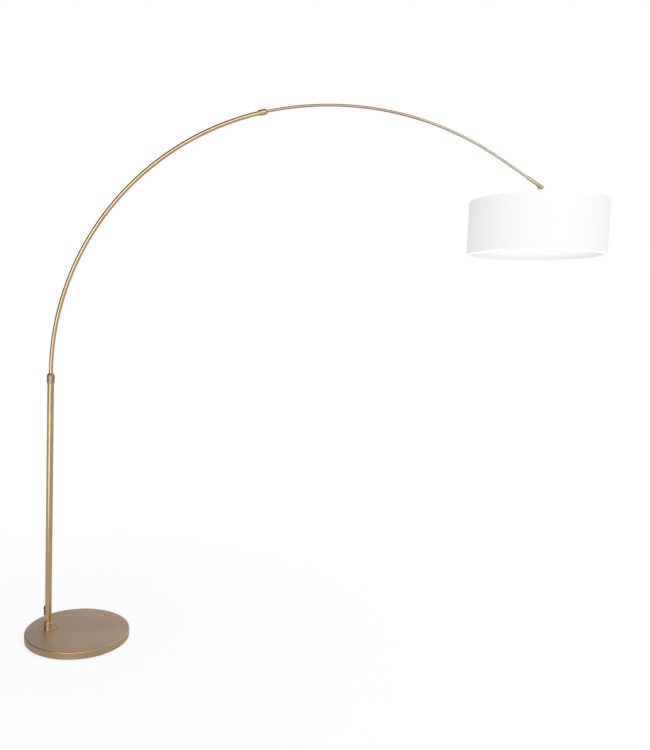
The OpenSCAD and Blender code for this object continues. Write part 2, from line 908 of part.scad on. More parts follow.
module centre_contact() {
    t = 0.8;
    color(brass) on_head() {
        translate([-3, -3, insert_z - t]) cube([11, 6, t]);
        translate([-3, -3, contact_z]) cube([6, 6, t]);
        translate([-3, -3, contact_z]) cube([t, 6, insert_z - contact_z]);
    }
}

module socket_shell() {
    color(brass) on_head(skirt_z + 6) tube(shell_r, shell_r - shell_t, skirt_l - 4);
}

module shade_ring() {
    color(black) on_head(spider_z - ring_h) rotate_extrude() polygon([
        [skirt_r, 0], [ring_r - 1.5, 0], [ring_r, 1.5], [ring_r, ring_h - 1],
        [ring_r - 1, ring_h], [skirt_r, ring_h]
    ]);
}

// ---- Shade

ring_z = shade_top - hem_t - joint_gap - wire_r;
bottom_ring_z = shade_z + hem_t + joint_gap + wire_r;

module spider_spokes(r) {
    hub_end = [spider_hub_r - 3, spider_z + spoke_r + joint_gap];
    run = wire_ring_r - hub_end[0];
    rise = ring_z - hub_end[1];
    tilt = atan2(run, rise);
    for (i = [0:spokes - 1])
        on_head(hub_end[1]) rotate([0, 0, spoke_turn + i * 360 / spokes])
            translate([hub_end[0], 0, 0]) rotate([0, tilt, 0])
                cylinder(r = r, h = sqrt(run * run + rise * rise), $fn = 32);
}

module wire_ring(z) {
    on_head(z) rotate_extrude($fn = RING_FN) translate([wire_ring_r, 0])
        circle(r = wire_r, $fn = 32);
}

module shade_spider() {
    color(white) difference() {
        union() {
            on_head(spider_z) cylinder(r = spider_hub_r, h = spider_t);
            spider_spokes(spoke_r);
            wire_ring(ring_z);
        }
        on_head(spider_z - 4) cylinder(r = skirt_r, h = spider_t + 8);
    }
}

module bottom_ring() {
    color(white) wire_ring(bottom_ring_z);
}

module shade_liner() {
    color(cream) on_head(shade_z + hem_t) rotate_extrude($fn = RING_FN)
        translate([liner_r - liner_t, 0]) square([liner_t, shade_h - 2 * hem_t]);
}

// The covering, turned in over both rings
module shade_fabric() {
    color(white) difference() {
        on_head(shade_z) rotate_extrude($fn = RING_FN) {
            translate([liner_r, 0]) square([fabric_t, shade_h]);
            for (z = [0, shade_h - hem_t])
                translate([hem_r - hem_t, z]) square([shade_r - hem_r + hem_t, hem_t]);
            for (z = [0, shade_h - hem_h])
                translate([hem_r - hem_t, z]) square([hem_t, hem_h]);
        }
        spider_spokes(spoke_r + joint_gap);
    }
}

// ---- Bulb

module bulb_cap() {
    pitch = 3.6;
    ridge = 1.2;
    core = bulb_cap_r - ridge / 2;
    color(steel) on_head(bulb_cap_z) rotate_extrude() {
        square([core - 0.4, bulb_cap_l - 3]);
        for (i = [0:3]) translate([core - ridge / 2, 4.5 + i * pitch])
            circle(r = ridge, $fn = 32);
        square([core - 0.4, 2]);
        polygon([
            [0, bulb_cap_l - 3], [core - 0.4, bulb_cap_l - 3],
            [core - 4, bulb_cap_l], [0, bulb_cap_l]
        ]);
        square([4.5, contact_z - bulb_cap_z]);
    }
}

module bulb_section(r, neck_r) {
    reach = bulb_cap_z - bulb_c;
    lean = asin((r - neck_r) / reach * 0.92);
    difference() {
        circle(r = r, $fn = 96);
        translate([-2 * r, -2 * r]) square([2 * r, 4 * r]);
    }
    polygon([
        [0, 0], [r * cos(lean), r * sin(lean)], [neck_r, reach], [0, reach]
    ]);
}

module bulb_glass() {
    neck_r = bulb_cap_r - 1.6;
    color(white) on_head(bulb_c) rotate_extrude($fn = 96) difference() {
        bulb_section(bulb_r, neck_r);
        translate([0, -0.01]) bulb_section(bulb_r - glass_t, neck_r - glass_t);
    }
}

// ---- Wiring

// Leads from the terminals, up through the stud and past the switch
module stand_flex() {
    start_x = block_x + block_l / 2;
    bend_r = flex_r + hair;
    turn_r = nut_z - lead_z;
    sway = acos(1 - flex_shift / (2 * flex_bend_r));
    sway_h = 2 * flex_bend_r * sin(sway);
    sway_z = plug_top + 2;
    color(black) {
        translate([start_x, 0, lead_z]) rotate([0, 90, 0])
            cylinder(r = flex_r, h = seam - pole_offset - turn_r - start_x);
        bend([-pole_offset - turn_r, nut_z], turn_r, 180, 270) circle(r = bend_r);
        on_pole(nut_z - seam) cylinder(r = flex_r, h = sway_z - nut_z + 2 * seam);
        bend([flex_bend_r - pole_offset, sway_z], flex_bend_r, 0, sway)
            circle(r = bend_r);
        bend([flex_shift - pole_offset - flex_bend_r, sway_z + sway_h], flex_bend_r,
             180, 180 + sway) circle(r = bend_r);
        translate([flex_shift - pole_offset, 0, sway_z + sway_h - seam])
            cylinder(r = flex_r, h = coil_z - sway_z - sway_h + seam);
    }
}

// The coiled slack that lets the stem rise, as the outer form of its turns
module slack_coil() {
    color(black) on_pole(coil_z)
        tube(pole_in_r - 0.6, coil_in_r, stem_z - coil_gap - coil_z);
}

module arc_flex() {
    side = stem_in_r - flex_r - free;
    end = upper_in - deg(flex_past + 1, arc_r);
    color(black) {
        on_pole(stem_z) translate([side, 0, 0])
            cylinder(r = flex_r - hair, h = stem_len + seam);
        bend(arc_c, arc_r - side, 0, end) circle(r = flex_r);
    }
}

module upper_flex() {
    color(black) upper_shape(flex_r, upper_in_r - flex_r - 0.2, flex_past);
}

floor_pad();
bottom_plate();
plate_screws();
ballast();
base_cover();
cord_grommet();
cord_clamp();
terminal_block();
stud_nut();
stud_washer();
foot_stud();
pole_plug();
foot_ferrule();
pole_tube();
switch_housing();
switch_terminals();
switch_rocker();
pole_collet();
stand_flex();
slack_coil();
height_collar();
stem_bush();
stem_clips();
lower_arc_tube();
arc_collet();
arc_flex();
reach_collar();
upper_arc_tube();
tube_guide();
upper_flex();
end_sleeve();
sleeve_grub_screw();
knuckle_screw();
knuckle_nut();
knuckle_tongue();
lamp_nipple();
nipple_nuts();
holder_cap();
lampholder();
holder_insert();
centre_contact();
socket_shell();
shade_ring();
shade_spider();
bottom_ring();
shade_liner();
shade_fabric();
bulb_cap();
bulb_glass();
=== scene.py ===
# %% [markdown]
# # Arc floor lamp
# This lesson dresses a finished mechanical model in Blender. The lamp is a heavy round base,
# a pole, an arc in two telescoping tubes and a fabric drum shade. The mechanical solids are
# loaded as a fixed frame in metres. Solids with the right shape get a finish, and the pieces
# whose surface matters most are modelled again, with seams, knurling and soft edges.

# %% Load the frame
import json
import math

import bmesh
import bpy
from mathutils import Matrix, Vector


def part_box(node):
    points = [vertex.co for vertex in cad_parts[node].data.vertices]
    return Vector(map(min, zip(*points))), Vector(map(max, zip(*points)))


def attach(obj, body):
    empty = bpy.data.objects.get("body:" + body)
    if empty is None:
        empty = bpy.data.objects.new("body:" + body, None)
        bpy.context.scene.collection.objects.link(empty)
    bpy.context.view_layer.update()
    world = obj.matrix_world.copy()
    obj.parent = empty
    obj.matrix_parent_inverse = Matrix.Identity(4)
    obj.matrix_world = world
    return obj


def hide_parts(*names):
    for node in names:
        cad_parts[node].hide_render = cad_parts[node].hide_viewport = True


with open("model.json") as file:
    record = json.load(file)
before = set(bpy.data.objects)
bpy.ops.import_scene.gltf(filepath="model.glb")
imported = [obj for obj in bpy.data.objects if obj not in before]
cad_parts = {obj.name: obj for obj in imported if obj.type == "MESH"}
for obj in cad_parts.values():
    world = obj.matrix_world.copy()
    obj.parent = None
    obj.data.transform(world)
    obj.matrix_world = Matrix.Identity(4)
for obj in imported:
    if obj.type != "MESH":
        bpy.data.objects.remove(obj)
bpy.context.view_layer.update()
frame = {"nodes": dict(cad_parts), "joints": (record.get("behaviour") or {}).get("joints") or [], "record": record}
nodes = frame["nodes"]

# %% [markdown]
# ## The camera
# The camera comes first, because it decides which surfaces need the most work. It stands at
# chest height about 2.7 m in front of the lamp and looks slightly down. A moderate wide
# angle lets the base be seen from above and the shade from just below. The camera is rolled
# by a degree or two, and a small lens shift puts the lamp where it belongs in the frame.

# %% Camera
CAMERA_PLACE = Vector((0.5746, -2.6809, 1.2414))
CAMERA_YAW = 0.0262
CAMERA_PITCH = -0.0727
CAMERA_ROLL = 0.0315
CAMERA_SHIFT = 0.1
CAMERA_REACH = 200.0
SENSOR = 36.0
FOCAL_SHARE = 700 / 750

forward = Vector((math.sin(CAMERA_YAW) * math.cos(CAMERA_PITCH),
                  math.cos(CAMERA_YAW) * math.cos(CAMERA_PITCH),
                  math.sin(CAMERA_PITCH)))
level = Vector((math.cos(CAMERA_YAW), -math.sin(CAMERA_YAW), 0.0))
above = level.cross(forward)
right = level * math.cos(CAMERA_ROLL) + above * math.sin(CAMERA_ROLL)
up = above * math.cos(CAMERA_ROLL) - level * math.sin(CAMERA_ROLL)
bpy.ops.object.camera_add(location=CAMERA_PLACE)
camera = bpy.context.object
camera.name = "camera"
turn = Matrix((right, up, -forward)).transposed()
camera.rotation_mode = "QUATERNION"
camera.rotation_quaternion = turn.to_quaternion()
camera.data.sensor_fit = "AUTO"
camera.data.sensor_width = SENSOR
camera.data.lens = SENSOR * FOCAL_SHARE
camera.data.shift_x = CAMERA_SHIFT
camera.data.clip_end = CAMERA_REACH
bpy.context.scene.camera = camera
print("lens", round(camera.data.lens, 2), "mm")

# %% [markdown]
# ## Small helpers for nodes
# A finish is a tree of nodes, and two kinds of node come back in every tree. One does a sum,
# and the other maps a range of numbers to another range. Each gets a helper, so that a
# finish reads as a few short lines. The third helper tells which rays see the room as pure
# white: those of the camera, and those that metal and glass reflect or let through.

# %% Node helpers
WHITE = (1, 1, 1, 1)


def math_node(tree, operation, first, second=None):
    """A math node fed by sockets or plain numbers."""
    node = tree.nodes.new("ShaderNodeMath")
    node.operation = operation
    for slot, source in enumerate((first, second)):
        if source is None:
            continue
        if isinstance(source, (int, float)):
            node.inputs[slot].default_value = source
        else:
            tree.links.new(source, node.inputs[slot])
    return node.outputs[0]


def ramp(tree, value, low, high, bottom=0.0, top=1.0):
    """Maps low..high to bottom..top, and stops at both ends."""
    node = tree.nodes.new("ShaderNodeMapRange")
    for slot, number in enumerate((low, high, bottom, top), 1):
        node.inputs[slot].default_value = number
    tree.links.new(value, node.inputs[0])
    return node.outputs[0]


def seen_ray(tree):
    """A value that is 1 for camera, glossy and transmission rays."""
    path = tree.nodes.new("ShaderNodeLightPath")
    seen = math_node(tree, "MAXIMUM", path.outputs["Is Camera Ray"],
                     path.outputs["Is Glossy Ray"])
    return math_node(tree, "MAXIMUM", seen, path.outputs["Is Transmission Ray"])


# %% [markdown]
# ## The floor
# The lamp stands on a pale floor without an end. More light would make the floor white, but
# it would wash out the lamp too. So the floor glows white only for the rays that see it, and
# the lamps stay at a plain level. Near the base part of the floor's white is lit and not
# emitted, so that a soft shadow still lies there. In metal the floor looks a little greyer,
# which helps to draw the lower edges of the tubes.

# %% Floor finish
FLOOR_COLOUR = (0.86, 0.86, 0.86)
GLOW_AT_BASE = 0.80
GLOW_NEAR, GLOW_FAR = 0.35, 1.5
MIRRORED_FLOOR = 0.62


def deselect():
    """Leaves nothing selected, in object mode."""
    if bpy.context.object and bpy.context.object.mode != "OBJECT":
        bpy.ops.object.mode_set(mode="OBJECT")
    bpy.ops.object.select_all(action="DESELECT")


def make_floor_white():
    """A pale floor that glows white for the rays that see it."""
    material = bpy.data.materials.new("floor_white")
    material.use_nodes = True
    tree = material.node_tree
    tree.nodes.clear()
    lit = tree.nodes.new("ShaderNodeBsdfDiffuse")
    lit.inputs["Color"].default_value = (*FLOOR_COLOUR, 1)
    glow = tree.nodes.new("ShaderNodeEmission")
    glow.inputs["Color"].default_value = WHITE
    in_metal = tree.nodes.new("ShaderNodeLightPath").outputs["Is Glossy Ray"]
    tree.links.new(ramp(tree, in_metal, 0.0, 1.0, 1.0, MIRRORED_FLOOR),
                   glow.inputs["Strength"])
    place = tree.nodes.new("ShaderNodeTexCoord")
    away = tree.nodes.new("ShaderNodeVectorMath")
    away.operation = "LENGTH"
    tree.links.new(place.outputs["Object"], away.inputs[0])
    share = ramp(tree, away.outputs["Value"], GLOW_NEAR, GLOW_FAR, GLOW_AT_BASE, 1.0)
    blend = tree.nodes.new("ShaderNodeMixShader")
    tree.links.new(math_node(tree, "MULTIPLY", seen_ray(tree), share), blend.inputs["Fac"])
    tree.links.new(lit.outputs[0], blend.inputs[1])
    tree.links.new(glow.outputs[0], blend.inputs[2])
    target = tree.nodes.new("ShaderNodeOutputMaterial")
    tree.links.new(blend.outputs[0], target.inputs["Surface"])
    return material


# %% Floor plane
FLOOR_SIZE = 60.0
deselect()
bpy.ops.mesh.primitive_plane_add(size=FLOOR_SIZE, location=(0, 0, 0))
floor = bpy.context.object
floor.name = "floor"
floor.data.materials.append(make_floor_white())
print("floor", FLOOR_SIZE, "m wide, white from", GLOW_FAR, "m out")

# %% [markdown]
# ## The white room
# Behind the lamp there is nothing but white, and the world gives that white. A round tube in
# an even white room looks flat, so a studio hangs a black flag above and to the left, and
# the room behind the camera is dim. Real flags would also darken the shade and the base. So
# only glossy rays find the world darker there, and that is what draws the tubes' edges.

# %% World
WORLD_LIGHT = 0.87
FLAG_DIRECTION = (-0.75, 0.0, 0.66)
FLAG_STARTS, FLAG_FULL, FLAG_DARK = 0.2, 0.75, 0.12
FRONT_FULL, FRONT_ENDS, FRONT_DARK = -0.4, 0.1, 0.50


def make_white_room():
    """A world that lights a little less than white, and is darker in metal where the flags
    hang."""
    world = bpy.data.worlds.new("white_room")
    world.use_nodes = True
    tree = world.node_tree
    tree.nodes.clear()
    direction = tree.nodes.new("ShaderNodeTexCoord").outputs["Generated"]
    split = tree.nodes.new("ShaderNodeSeparateXYZ")
    tree.links.new(direction, split.inputs[0])
    to_flag = tree.nodes.new("ShaderNodeVectorMath")
    to_flag.operation = "DOT_PRODUCT"
    to_flag.inputs[1].default_value = FLAG_DIRECTION
    tree.links.new(direction, to_flag.inputs[0])
    flag = ramp(tree, to_flag.outputs["Value"], FLAG_STARTS, FLAG_FULL, 1.0, FLAG_DARK)
    front = ramp(tree, split.outputs["Y"], FRONT_FULL, FRONT_ENDS, FRONT_DARK, 1.0)
    lighting, seen, mirrored = (tree.nodes.new("ShaderNodeBackground") for _ in range(3))
    for sky in (lighting, seen, mirrored):
        sky.inputs["Color"].default_value = WHITE
    lighting.inputs["Strength"].default_value = WORLD_LIGHT
    seen.inputs["Strength"].default_value = 1.0
    tree.links.new(math_node(tree, "MULTIPLY", flag, front), mirrored.inputs["Strength"])
    is_seen, in_metal = (tree.nodes.new("ShaderNodeMixShader") for _ in range(2))
    tree.links.new(seen_ray(tree), is_seen.inputs["Fac"])
    tree.links.new(lighting.outputs[0], is_seen.inputs[1])
    tree.links.new(seen.outputs[0], is_seen.inputs[2])
    path = tree.nodes.new("ShaderNodeLightPath")
    tree.links.new(path.outputs["Is Glossy Ray"], in_metal.inputs["Fac"])
    tree.links.new(is_seen.outputs[0], in_metal.inputs[1])
    tree.links.new(mirrored.outputs[0], in_metal.inputs[2])
    target = tree.nodes.new("ShaderNodeOutputWorld")
    tree.links.new(in_metal.outputs[0], target.inputs["Surface"])
    return world


# %% World in place
scene = bpy.context.scene
scene.world = make_white_room()
scene.view_settings.view_transform = "Standard"
print("world", scene.world.name, "lights at", WORLD_LIGHT)

# %% [markdown]
# ## The lamps
# Six soft boxes light the lamp, and none of them is seen. The first two light everything
# from the front: a wide one to the right, which gives the shade its bright middle and leaves
# its left end a little greyer, and a long one above. Metal needs more than that to look
# round, but the same light would burn out the shade. So two boxes light only gloss: one
# close to the pole draws the highlight down it, and one over the arc draws it along the
# tubes. Two more light only matte surfaces: one hangs over the drum, and one lies on the
# floor under it and lights its lining, as a white card does.

# %% Soft boxes


def soft_box(name, place, look_at, width, height, watts, mirrored=True, matte=True):
    """An area lamp that faces a point, and that lights the gloss, the matte surfaces or
    both."""
    deselect()
    bpy.ops.object.light_add(type="AREA", location=place)
    lamp = bpy.context.object
    lamp.name = name
    lamp.data.shape = "RECTANGLE"
    lamp.data.size = width
    lamp.data.size_y = height
    lamp.data.energy = watts
    lamp.visible_camera = False
    lamp.visible_glossy = mirrored
    lamp.visible_diffuse = matte
    aim = Vector(look_at) - Vector(place)
    lamp.rotation_mode = "QUATERNION"
    lamp.rotation_quaternion = aim.to_track_quat("-Z", "Y")
    print("soft box", name, watts, "W")


# Each line gives a box's place, the point it faces, its width and height, and its watts.
soft_box("key", (1.9, -3.8, 2.0), (1.4, 0, 1.4), 2.2, 2.0, 21)
soft_box("top_light", (0.6, -3.4, 3.1), (0.8, 0, 1.9), 3.8, 1.2, 16)
soft_box("shade_light", (1.68, -0.25, 3.4), (1.7, 0, 1.6), 0.8, 0.8, 14, mirrored=False)
soft_box("pole_light", (-0.40, -1.45, 1.05), (-0.115, 0, 1.05), 1.0, 2.0, 11, matte=False)
soft_box("arc_light", (0.4, -3.4, 2.35), (0.6, 0, 1.75), 4.2, 0.8, 22, matte=False)
soft_box("reflector", (1.72, -0.05, 0.05), (1.72, -0.05, 1.6), 1.0, 0.5, 16, mirrored=False)

# %% [markdown]
# ## Shared effects
# Three effects are used by more than one finish, so each is a node group that is built once.
# The first gives the fine lines that a brush leaves along a tube. On a bent tube the lines
# follow the bend, so they are drawn in polar measure about the bend's centre. The second
# gives slow clouds of tone, as patina and handling leave. The third gives the tiny grain of
# moulded plastic, paint and castings. Groups hand over only values and colours.

# %% Node group helpers


def new_group(name, inputs, outputs):
    """An empty node group with float inputs given as (name, default) pairs."""
    group = bpy.data.node_groups.new(name, "ShaderNodeTree")
    for label, value in inputs:
        socket = group.interface.new_socket(label, in_out="INPUT",
                                            socket_type="NodeSocketFloat")
        socket.default_value = value
    for label in outputs:
        group.interface.new_socket(label, in_out="OUTPUT", socket_type="NodeSocketFloat")
    return group, group.nodes.new("NodeGroupInput"), group.nodes.new("NodeGroupOutput")


def noise_in(group, vector, detail):
    """A noise node of scale 1 that reads a vector."""
    noise = group.nodes.new("ShaderNodeTexNoise")
    noise.inputs["Scale"].default_value = 1.0
    noise.inputs["Detail"].default_value = detail
    group.links.new(vector, noise.inputs["Vector"])
    return noise


# %% Brushed lines
LOWER_BEND = (0.92, 1.03)
TUBE_FINENESS, TUBE_STRETCH, LINE_DETAIL = 700.0, 3.0, 3.0


def make_brushing():
    """Lines along a tube: straight below the bend's centre, round it above."""
    group, start, end = new_group(
        "brushed_lines",
        [("Centre X", LOWER_BEND[0]), ("Centre Z", LOWER_BEND[1]),
         ("Fineness", TUBE_FINENESS), ("Stretch", TUBE_STRETCH)], ["Lines"])
    split = group.nodes.new("ShaderNodeSeparateXYZ")
    group.links.new(group.nodes.new("ShaderNodeTexCoord").outputs["Object"], split.inputs[0])
    x = math_node(group, "SUBTRACT", split.outputs["X"], start.outputs["Centre X"])
    z = math_node(group, "SUBTRACT", split.outputs["Z"], start.outputs["Centre Z"])
    z_up = math_node(group, "MAXIMUM", z, 0.0)
    squares = math_node(group, "ADD", math_node(group, "MULTIPLY", x, x),
                        math_node(group, "MULTIPLY", z_up, z_up))
    radius = math_node(group, "SQRT", squares)
    angle = math_node(group, "ARCTAN2", z_up, x)
    below = math_node(group, "MINIMUM", z, 0.0)
    run = math_node(group, "ADD", angle, below)
    join = group.nodes.new("ShaderNodeCombineXYZ")
    for axis, measure, scale in (("X", radius, "Fineness"),
                                 ("Y", split.outputs["Y"], "Fineness"),
                                 ("Z", run, "Stretch")):
        scaled = math_node(group, "MULTIPLY", measure, start.outputs[scale])
        group.links.new(scaled, join.inputs[axis])
    noise = noise_in(group, join.outputs[0], LINE_DETAIL)
    group.links.new(noise.outputs["Fac"], end.inputs["Lines"])
    return group


BRUSHING = make_brushing()
print("node group", BRUSHING.name)

# %% Patina and grain
CLOUDS, CLOUD_CONTRAST = 9.0, 1.3
CLOUD_DETAIL, CLOUD_ROUGHNESS = 5.0, 0.6
GRAINS, GRAIN_DETAIL = 1500.0, 2.0


def make_patina():
    """Slow clouds of tone, from 0 to 1."""
    group, start, end = new_group(
        "patina", [("Size", CLOUDS), ("Contrast", CLOUD_CONTRAST)], ["Cloud"])
    place = group.nodes.new("ShaderNodeTexCoord")
    noise = noise_in(group, place.outputs["Object"], CLOUD_DETAIL)
    noise.inputs["Roughness"].default_value = CLOUD_ROUGHNESS
    group.links.new(start.outputs["Size"], noise.inputs["Scale"])
    off = math_node(group, "SUBTRACT", noise.outputs["Fac"], 0.5)
    scaled = math_node(group, "MULTIPLY", off, start.outputs["Contrast"])
    group.links.new(math_node(group, "ADD", scaled, 0.5), end.inputs["Cloud"])
    return group


def make_grain():
    """Fine even grain for paint, moulded plastic and castings."""
    group, start, end = new_group("fine_grain", [("Scale", GRAINS)], ["Grain"])
    place = group.nodes.new("ShaderNodeTexCoord")
    noise = noise_in(group, place.outputs["Object"], GRAIN_DETAIL)
    group.links.new(start.outputs["Scale"], noise.inputs["Scale"])
    group.links.new(noise.outputs["Fac"], end.inputs["Grain"])
    return group


PATINA = make_patina()
GRAIN = make_grain()
print("node groups", [group.name for group in bpy.data.node_groups])

# %% [markdown]
# ## Metal finishes
# The tubes, collars and base are steel and brass with a brushed antique finish. A metal shows
# its surroundings in its own colour, so its base colour is the colour that it has in a white
# room. A single colour would look like plastic. So the brushing changes roughness and height
# a little, and the patina moves the colour between a lighter and a darker tone. The upper
# arc is painted paler and greyer towards its tip, a painted reflection on the end that bends
# down towards the lamps, so its tones change along it.

# %% Material helpers


def use_group(tree, group, **values):
    """Places a node group and sets its inputs by name."""
    node = tree.nodes.new("ShaderNodeGroup")
    node.node_tree = group
    for label, value in values.items():
        node.inputs[label.replace("_", " ")].default_value = value
    return node.outputs[0]


def new_material(name, metallic=0.0):
    """A material with a Principled shader and nothing else."""
    material = bpy.data.materials.new(name)
    material.use_nodes = True
    tree = material.node_tree
    shader = tree.nodes["Principled BSDF"]
    shader.inputs["Metallic"].default_value = metallic
    return material, tree, shader


def add_bump(tree, shader, height, strength, distance):
    """Feeds a height to the shader's normal."""
    bump = tree.nodes.new("ShaderNodeBump")
    bump.inputs["Strength"].default_value = strength
    bump.inputs["Distance"].default_value = distance
    tree.links.new(height, bump.inputs["Height"])
    tree.links.new(bump.outputs[0], shader.inputs["Normal"])


# %% Colour helpers
TONE_LOW, TONE_HIGH = 0.3, 0.7


def mix_colour(tree, factor, first, second):
    """Mixes two colours by a value."""
    node = tree.nodes.new("ShaderNodeMix")
    node.data_type = "RGBA"
    tree.links.new(factor, node.inputs["Factor"])
    for slot, colour in (("A", first), ("B", second)):
        socket = [s for s in node.inputs if s.name == slot and s.type == "RGBA"][0]
        if isinstance(colour, tuple):
            socket.default_value = (*colour, 1)
        else:
            tree.links.new(colour, socket)
    return [s for s in node.outputs if s.type == "RGBA"][0]


def two_tones(tree, tone, dark, light):
    """A colour that moves from a dark to a light tone with a value."""
    return mix_colour(tree, ramp(tree, tone, TONE_LOW, TONE_HIGH), dark, light)


def object_place(tree):
    """The three measures of a point on the piece, and the point itself."""
    place = tree.nodes.new("ShaderNodeTexCoord").outputs["Object"]
    split = tree.nodes.new("ShaderNodeSeparateXYZ")
    tree.links.new(place, split.inputs[0])
    return split.outputs, place


# %% Antique metal
LINES_LOW, LINES_HIGH = 0.25, 0.75
LINES_IN_TONE, CLOUDS_IN_TONE = 0.25, 0.75
SMOOTHER, ROUGHER = 0.02, 0.03
LINES_BUMP, LINES_DEEP = 0.35, 0.00001


def antique_metal(name, light, dark, roughness, bend, tip_painted_reflection=None):
    """Brushed metal: lines along the tube and slow patina in its colour. A tip with painted
    reflection is (X where it starts, X where it is full, its light tone, its dark tone)."""
    material, tree, shader = new_material(name, metallic=1.0)
    lines = use_group(tree, BRUSHING, Centre_X=bend[0], Centre_Z=bend[1],
                      Fineness=TUBE_FINENESS, Stretch=TUBE_STRETCH)
    cloud = use_group(tree, PATINA, Size=CLOUDS, Contrast=CLOUD_CONTRAST)
    tone = math_node(tree, "ADD", math_node(tree, "MULTIPLY", lines, LINES_IN_TONE),
                     math_node(tree, "MULTIPLY", cloud, CLOUDS_IN_TONE))
    colour = two_tones(tree, tone, dark, light)
    if tip_painted_reflection:
        starts, full, tip_light, tip_dark = tip_painted_reflection
        along_x = object_place(tree)[0]["X"]
        colour = mix_colour(tree, ramp(tree, along_x, starts, full), colour,
                            two_tones(tree, tone, tip_dark, tip_light))
    tree.links.new(colour, shader.inputs["Base Color"])
    rough = ramp(tree, lines, LINES_LOW, LINES_HIGH, roughness - SMOOTHER,
                 roughness + ROUGHER)
    tree.links.new(rough, shader.inputs["Roughness"])
    add_bump(tree, shader, lines, LINES_BUMP, LINES_DEEP)
    return material


# %% Metals of the lamp
UPPER_BEND = (0.9527, 0.8939)
STRAIGHT = (-100.0, 50.0)  # a bend's centre so far off that the lines run straight
# The upper arc's tip is painted paler and greyer, a painted reflection on the end that bends down towards the
# lamps.
TIP_PAINTED_REFLECTION = (1.15, 1.50, (0.63, 0.58, 0.42), (0.51, 0.47, 0.34))
FINISH = {
    "bronze_tube": antique_metal("antique_tube", (0.62, 0.445, 0.235), (0.53, 0.375, 0.195),
                                 0.27, STRAIGHT),
    "arc_tube": antique_metal("antique_arc", (0.64, 0.46, 0.25), (0.54, 0.385, 0.205),
                              0.27, LOWER_BEND),
    "upper_tube": antique_metal("antique_upper_arc", (0.50, 0.365, 0.25),
                                (0.42, 0.305, 0.205), 0.36, UPPER_BEND, TIP_PAINTED_REFLECTION),
    "brass_trim": antique_metal("antique_trim", (0.58, 0.425, 0.27), (0.46, 0.33, 0.205),
                                0.28, STRAIGHT),
    # The sleeve's pale, greener tone matches the painted tip and is partly a painted highlight.
    "sleeve": antique_metal("antique_sleeve", (0.67, 0.60, 0.43), (0.55, 0.49, 0.34),
                            0.24, UPPER_BEND),
    "collar": antique_metal("antique_collar", (0.48, 0.34, 0.23), (0.40, 0.28, 0.19),
                            0.46, STRAIGHT),
    # The ferrule's tones are raised above the other brass as a painted highlight, which the lamps can't give it.
    "ferrule": antique_metal("antique_ferrule_painted_highlight", (0.72, 0.51, 0.29), (0.60, 0.41, 0.22),
                             0.40, STRAIGHT)}
print("metals", sorted(FINISH))

# %% [markdown]
# ## Paint, plastic and cord
# The pieces that are not brushed metal are plain, yet none is one flat colour. Paint and
# plastic get a fine grain, felt a deep one, and the raw casting is rough and mottled. They
# could each have a tree of their own, but they differ only in numbers, so one function makes
# them all from a table.

# %% Plain finish
PLAIN_CLOUDS, PLAIN_CONTRAST = 20.0, 1.2
GRAIN_ROUGHNESS = 0.06


def plain_finish(name, light, dark, roughness, scale=GRAINS, strength=0.2, depth=0.00005,
                 metallic=0.0):
    """Paint, plastic, felt or rubber: fine grain and a slow change of tone."""
    material, tree, shader = new_material(name, metallic)
    grain = use_group(tree, GRAIN, Scale=scale)
    cloud = use_group(tree, PATINA, Size=PLAIN_CLOUDS, Contrast=PLAIN_CONTRAST)
    tree.links.new(two_tones(tree, cloud, dark, light), shader.inputs["Base Color"])
    rough = ramp(tree, grain, TONE_LOW, TONE_HIGH, roughness - GRAIN_ROUGHNESS,
                 roughness + GRAIN_ROUGHNESS)
    tree.links.new(rough, shader.inputs["Roughness"])
    add_bump(tree, shader, grain, strength, depth)
    return material


# %% Table of plain finishes
# Slot: name, light tone, dark tone, roughness, grains, bump's strength and depth, metallic.
PLAIN = {
    "felt": ("black_felt", (0.03, 0.03, 0.032), (0.018, 0.018, 0.02), 0.95,
             900.0, 0.9, 0.0004),
    "cast_iron": ("raw_casting", (0.10, 0.10, 0.105), (0.05, 0.05, 0.052), 0.7,
                  500.0, 0.8, 0.0005, 0.6),
    "zinc_steel": ("zinc_plate", (0.62, 0.62, 0.64), (0.48, 0.48, 0.50), 0.32,
                   1200.0, 0.1, 0.00002, 1.0),
    "plate_black": ("black_paint", (0.03, 0.03, 0.03), (0.02, 0.02, 0.02), 0.5),
    "black_plastic": ("black_nylon", (0.035, 0.032, 0.03), (0.022, 0.02, 0.02), 0.42,
                      1800.0),
    "nylon": ("natural_nylon", (0.76, 0.73, 0.65), (0.70, 0.66, 0.57), 0.45),
    "block_plastic": ("block_plastic", (0.72, 0.70, 0.64), (0.66, 0.64, 0.58), 0.5),
    "cord_black": ("black_sleeving", (0.03, 0.03, 0.03), (0.018, 0.018, 0.018), 0.6,
                   2200.0),
    "holder_black": ("black_phenolic", (0.022, 0.021, 0.02), (0.014, 0.013, 0.013), 0.26,
                     900.0, 0.05, 0.00001),
    "ceramic": ("porcelain", (0.80, 0.78, 0.72), (0.74, 0.71, 0.64), 0.35),
    "contact_brass": ("bright_brass", (0.72, 0.53, 0.24), (0.62, 0.44, 0.18), 0.28,
                      1500.0, 0.1, 0.00002, 1.0),
    "white_wire": ("white_paint", (0.80, 0.80, 0.78), (0.75, 0.75, 0.73), 0.38,
                   1200.0, 0.12),
    "bulb_metal": ("bulb_cap_metal", (0.70, 0.70, 0.70), (0.60, 0.60, 0.61), 0.3,
                   1500.0, 0.1, 0.00002, 1.0),
    "opal_glass": ("opal_glass", (0.82, 0.81, 0.78), (0.80, 0.79, 0.75), 0.24,
                   20.0, 0.01, 0.000001),
    "liner": ("white_lining", (0.95, 0.945, 0.93), (0.93, 0.92, 0.90), 0.5,
              700.0, 0.05, 0.00001)}
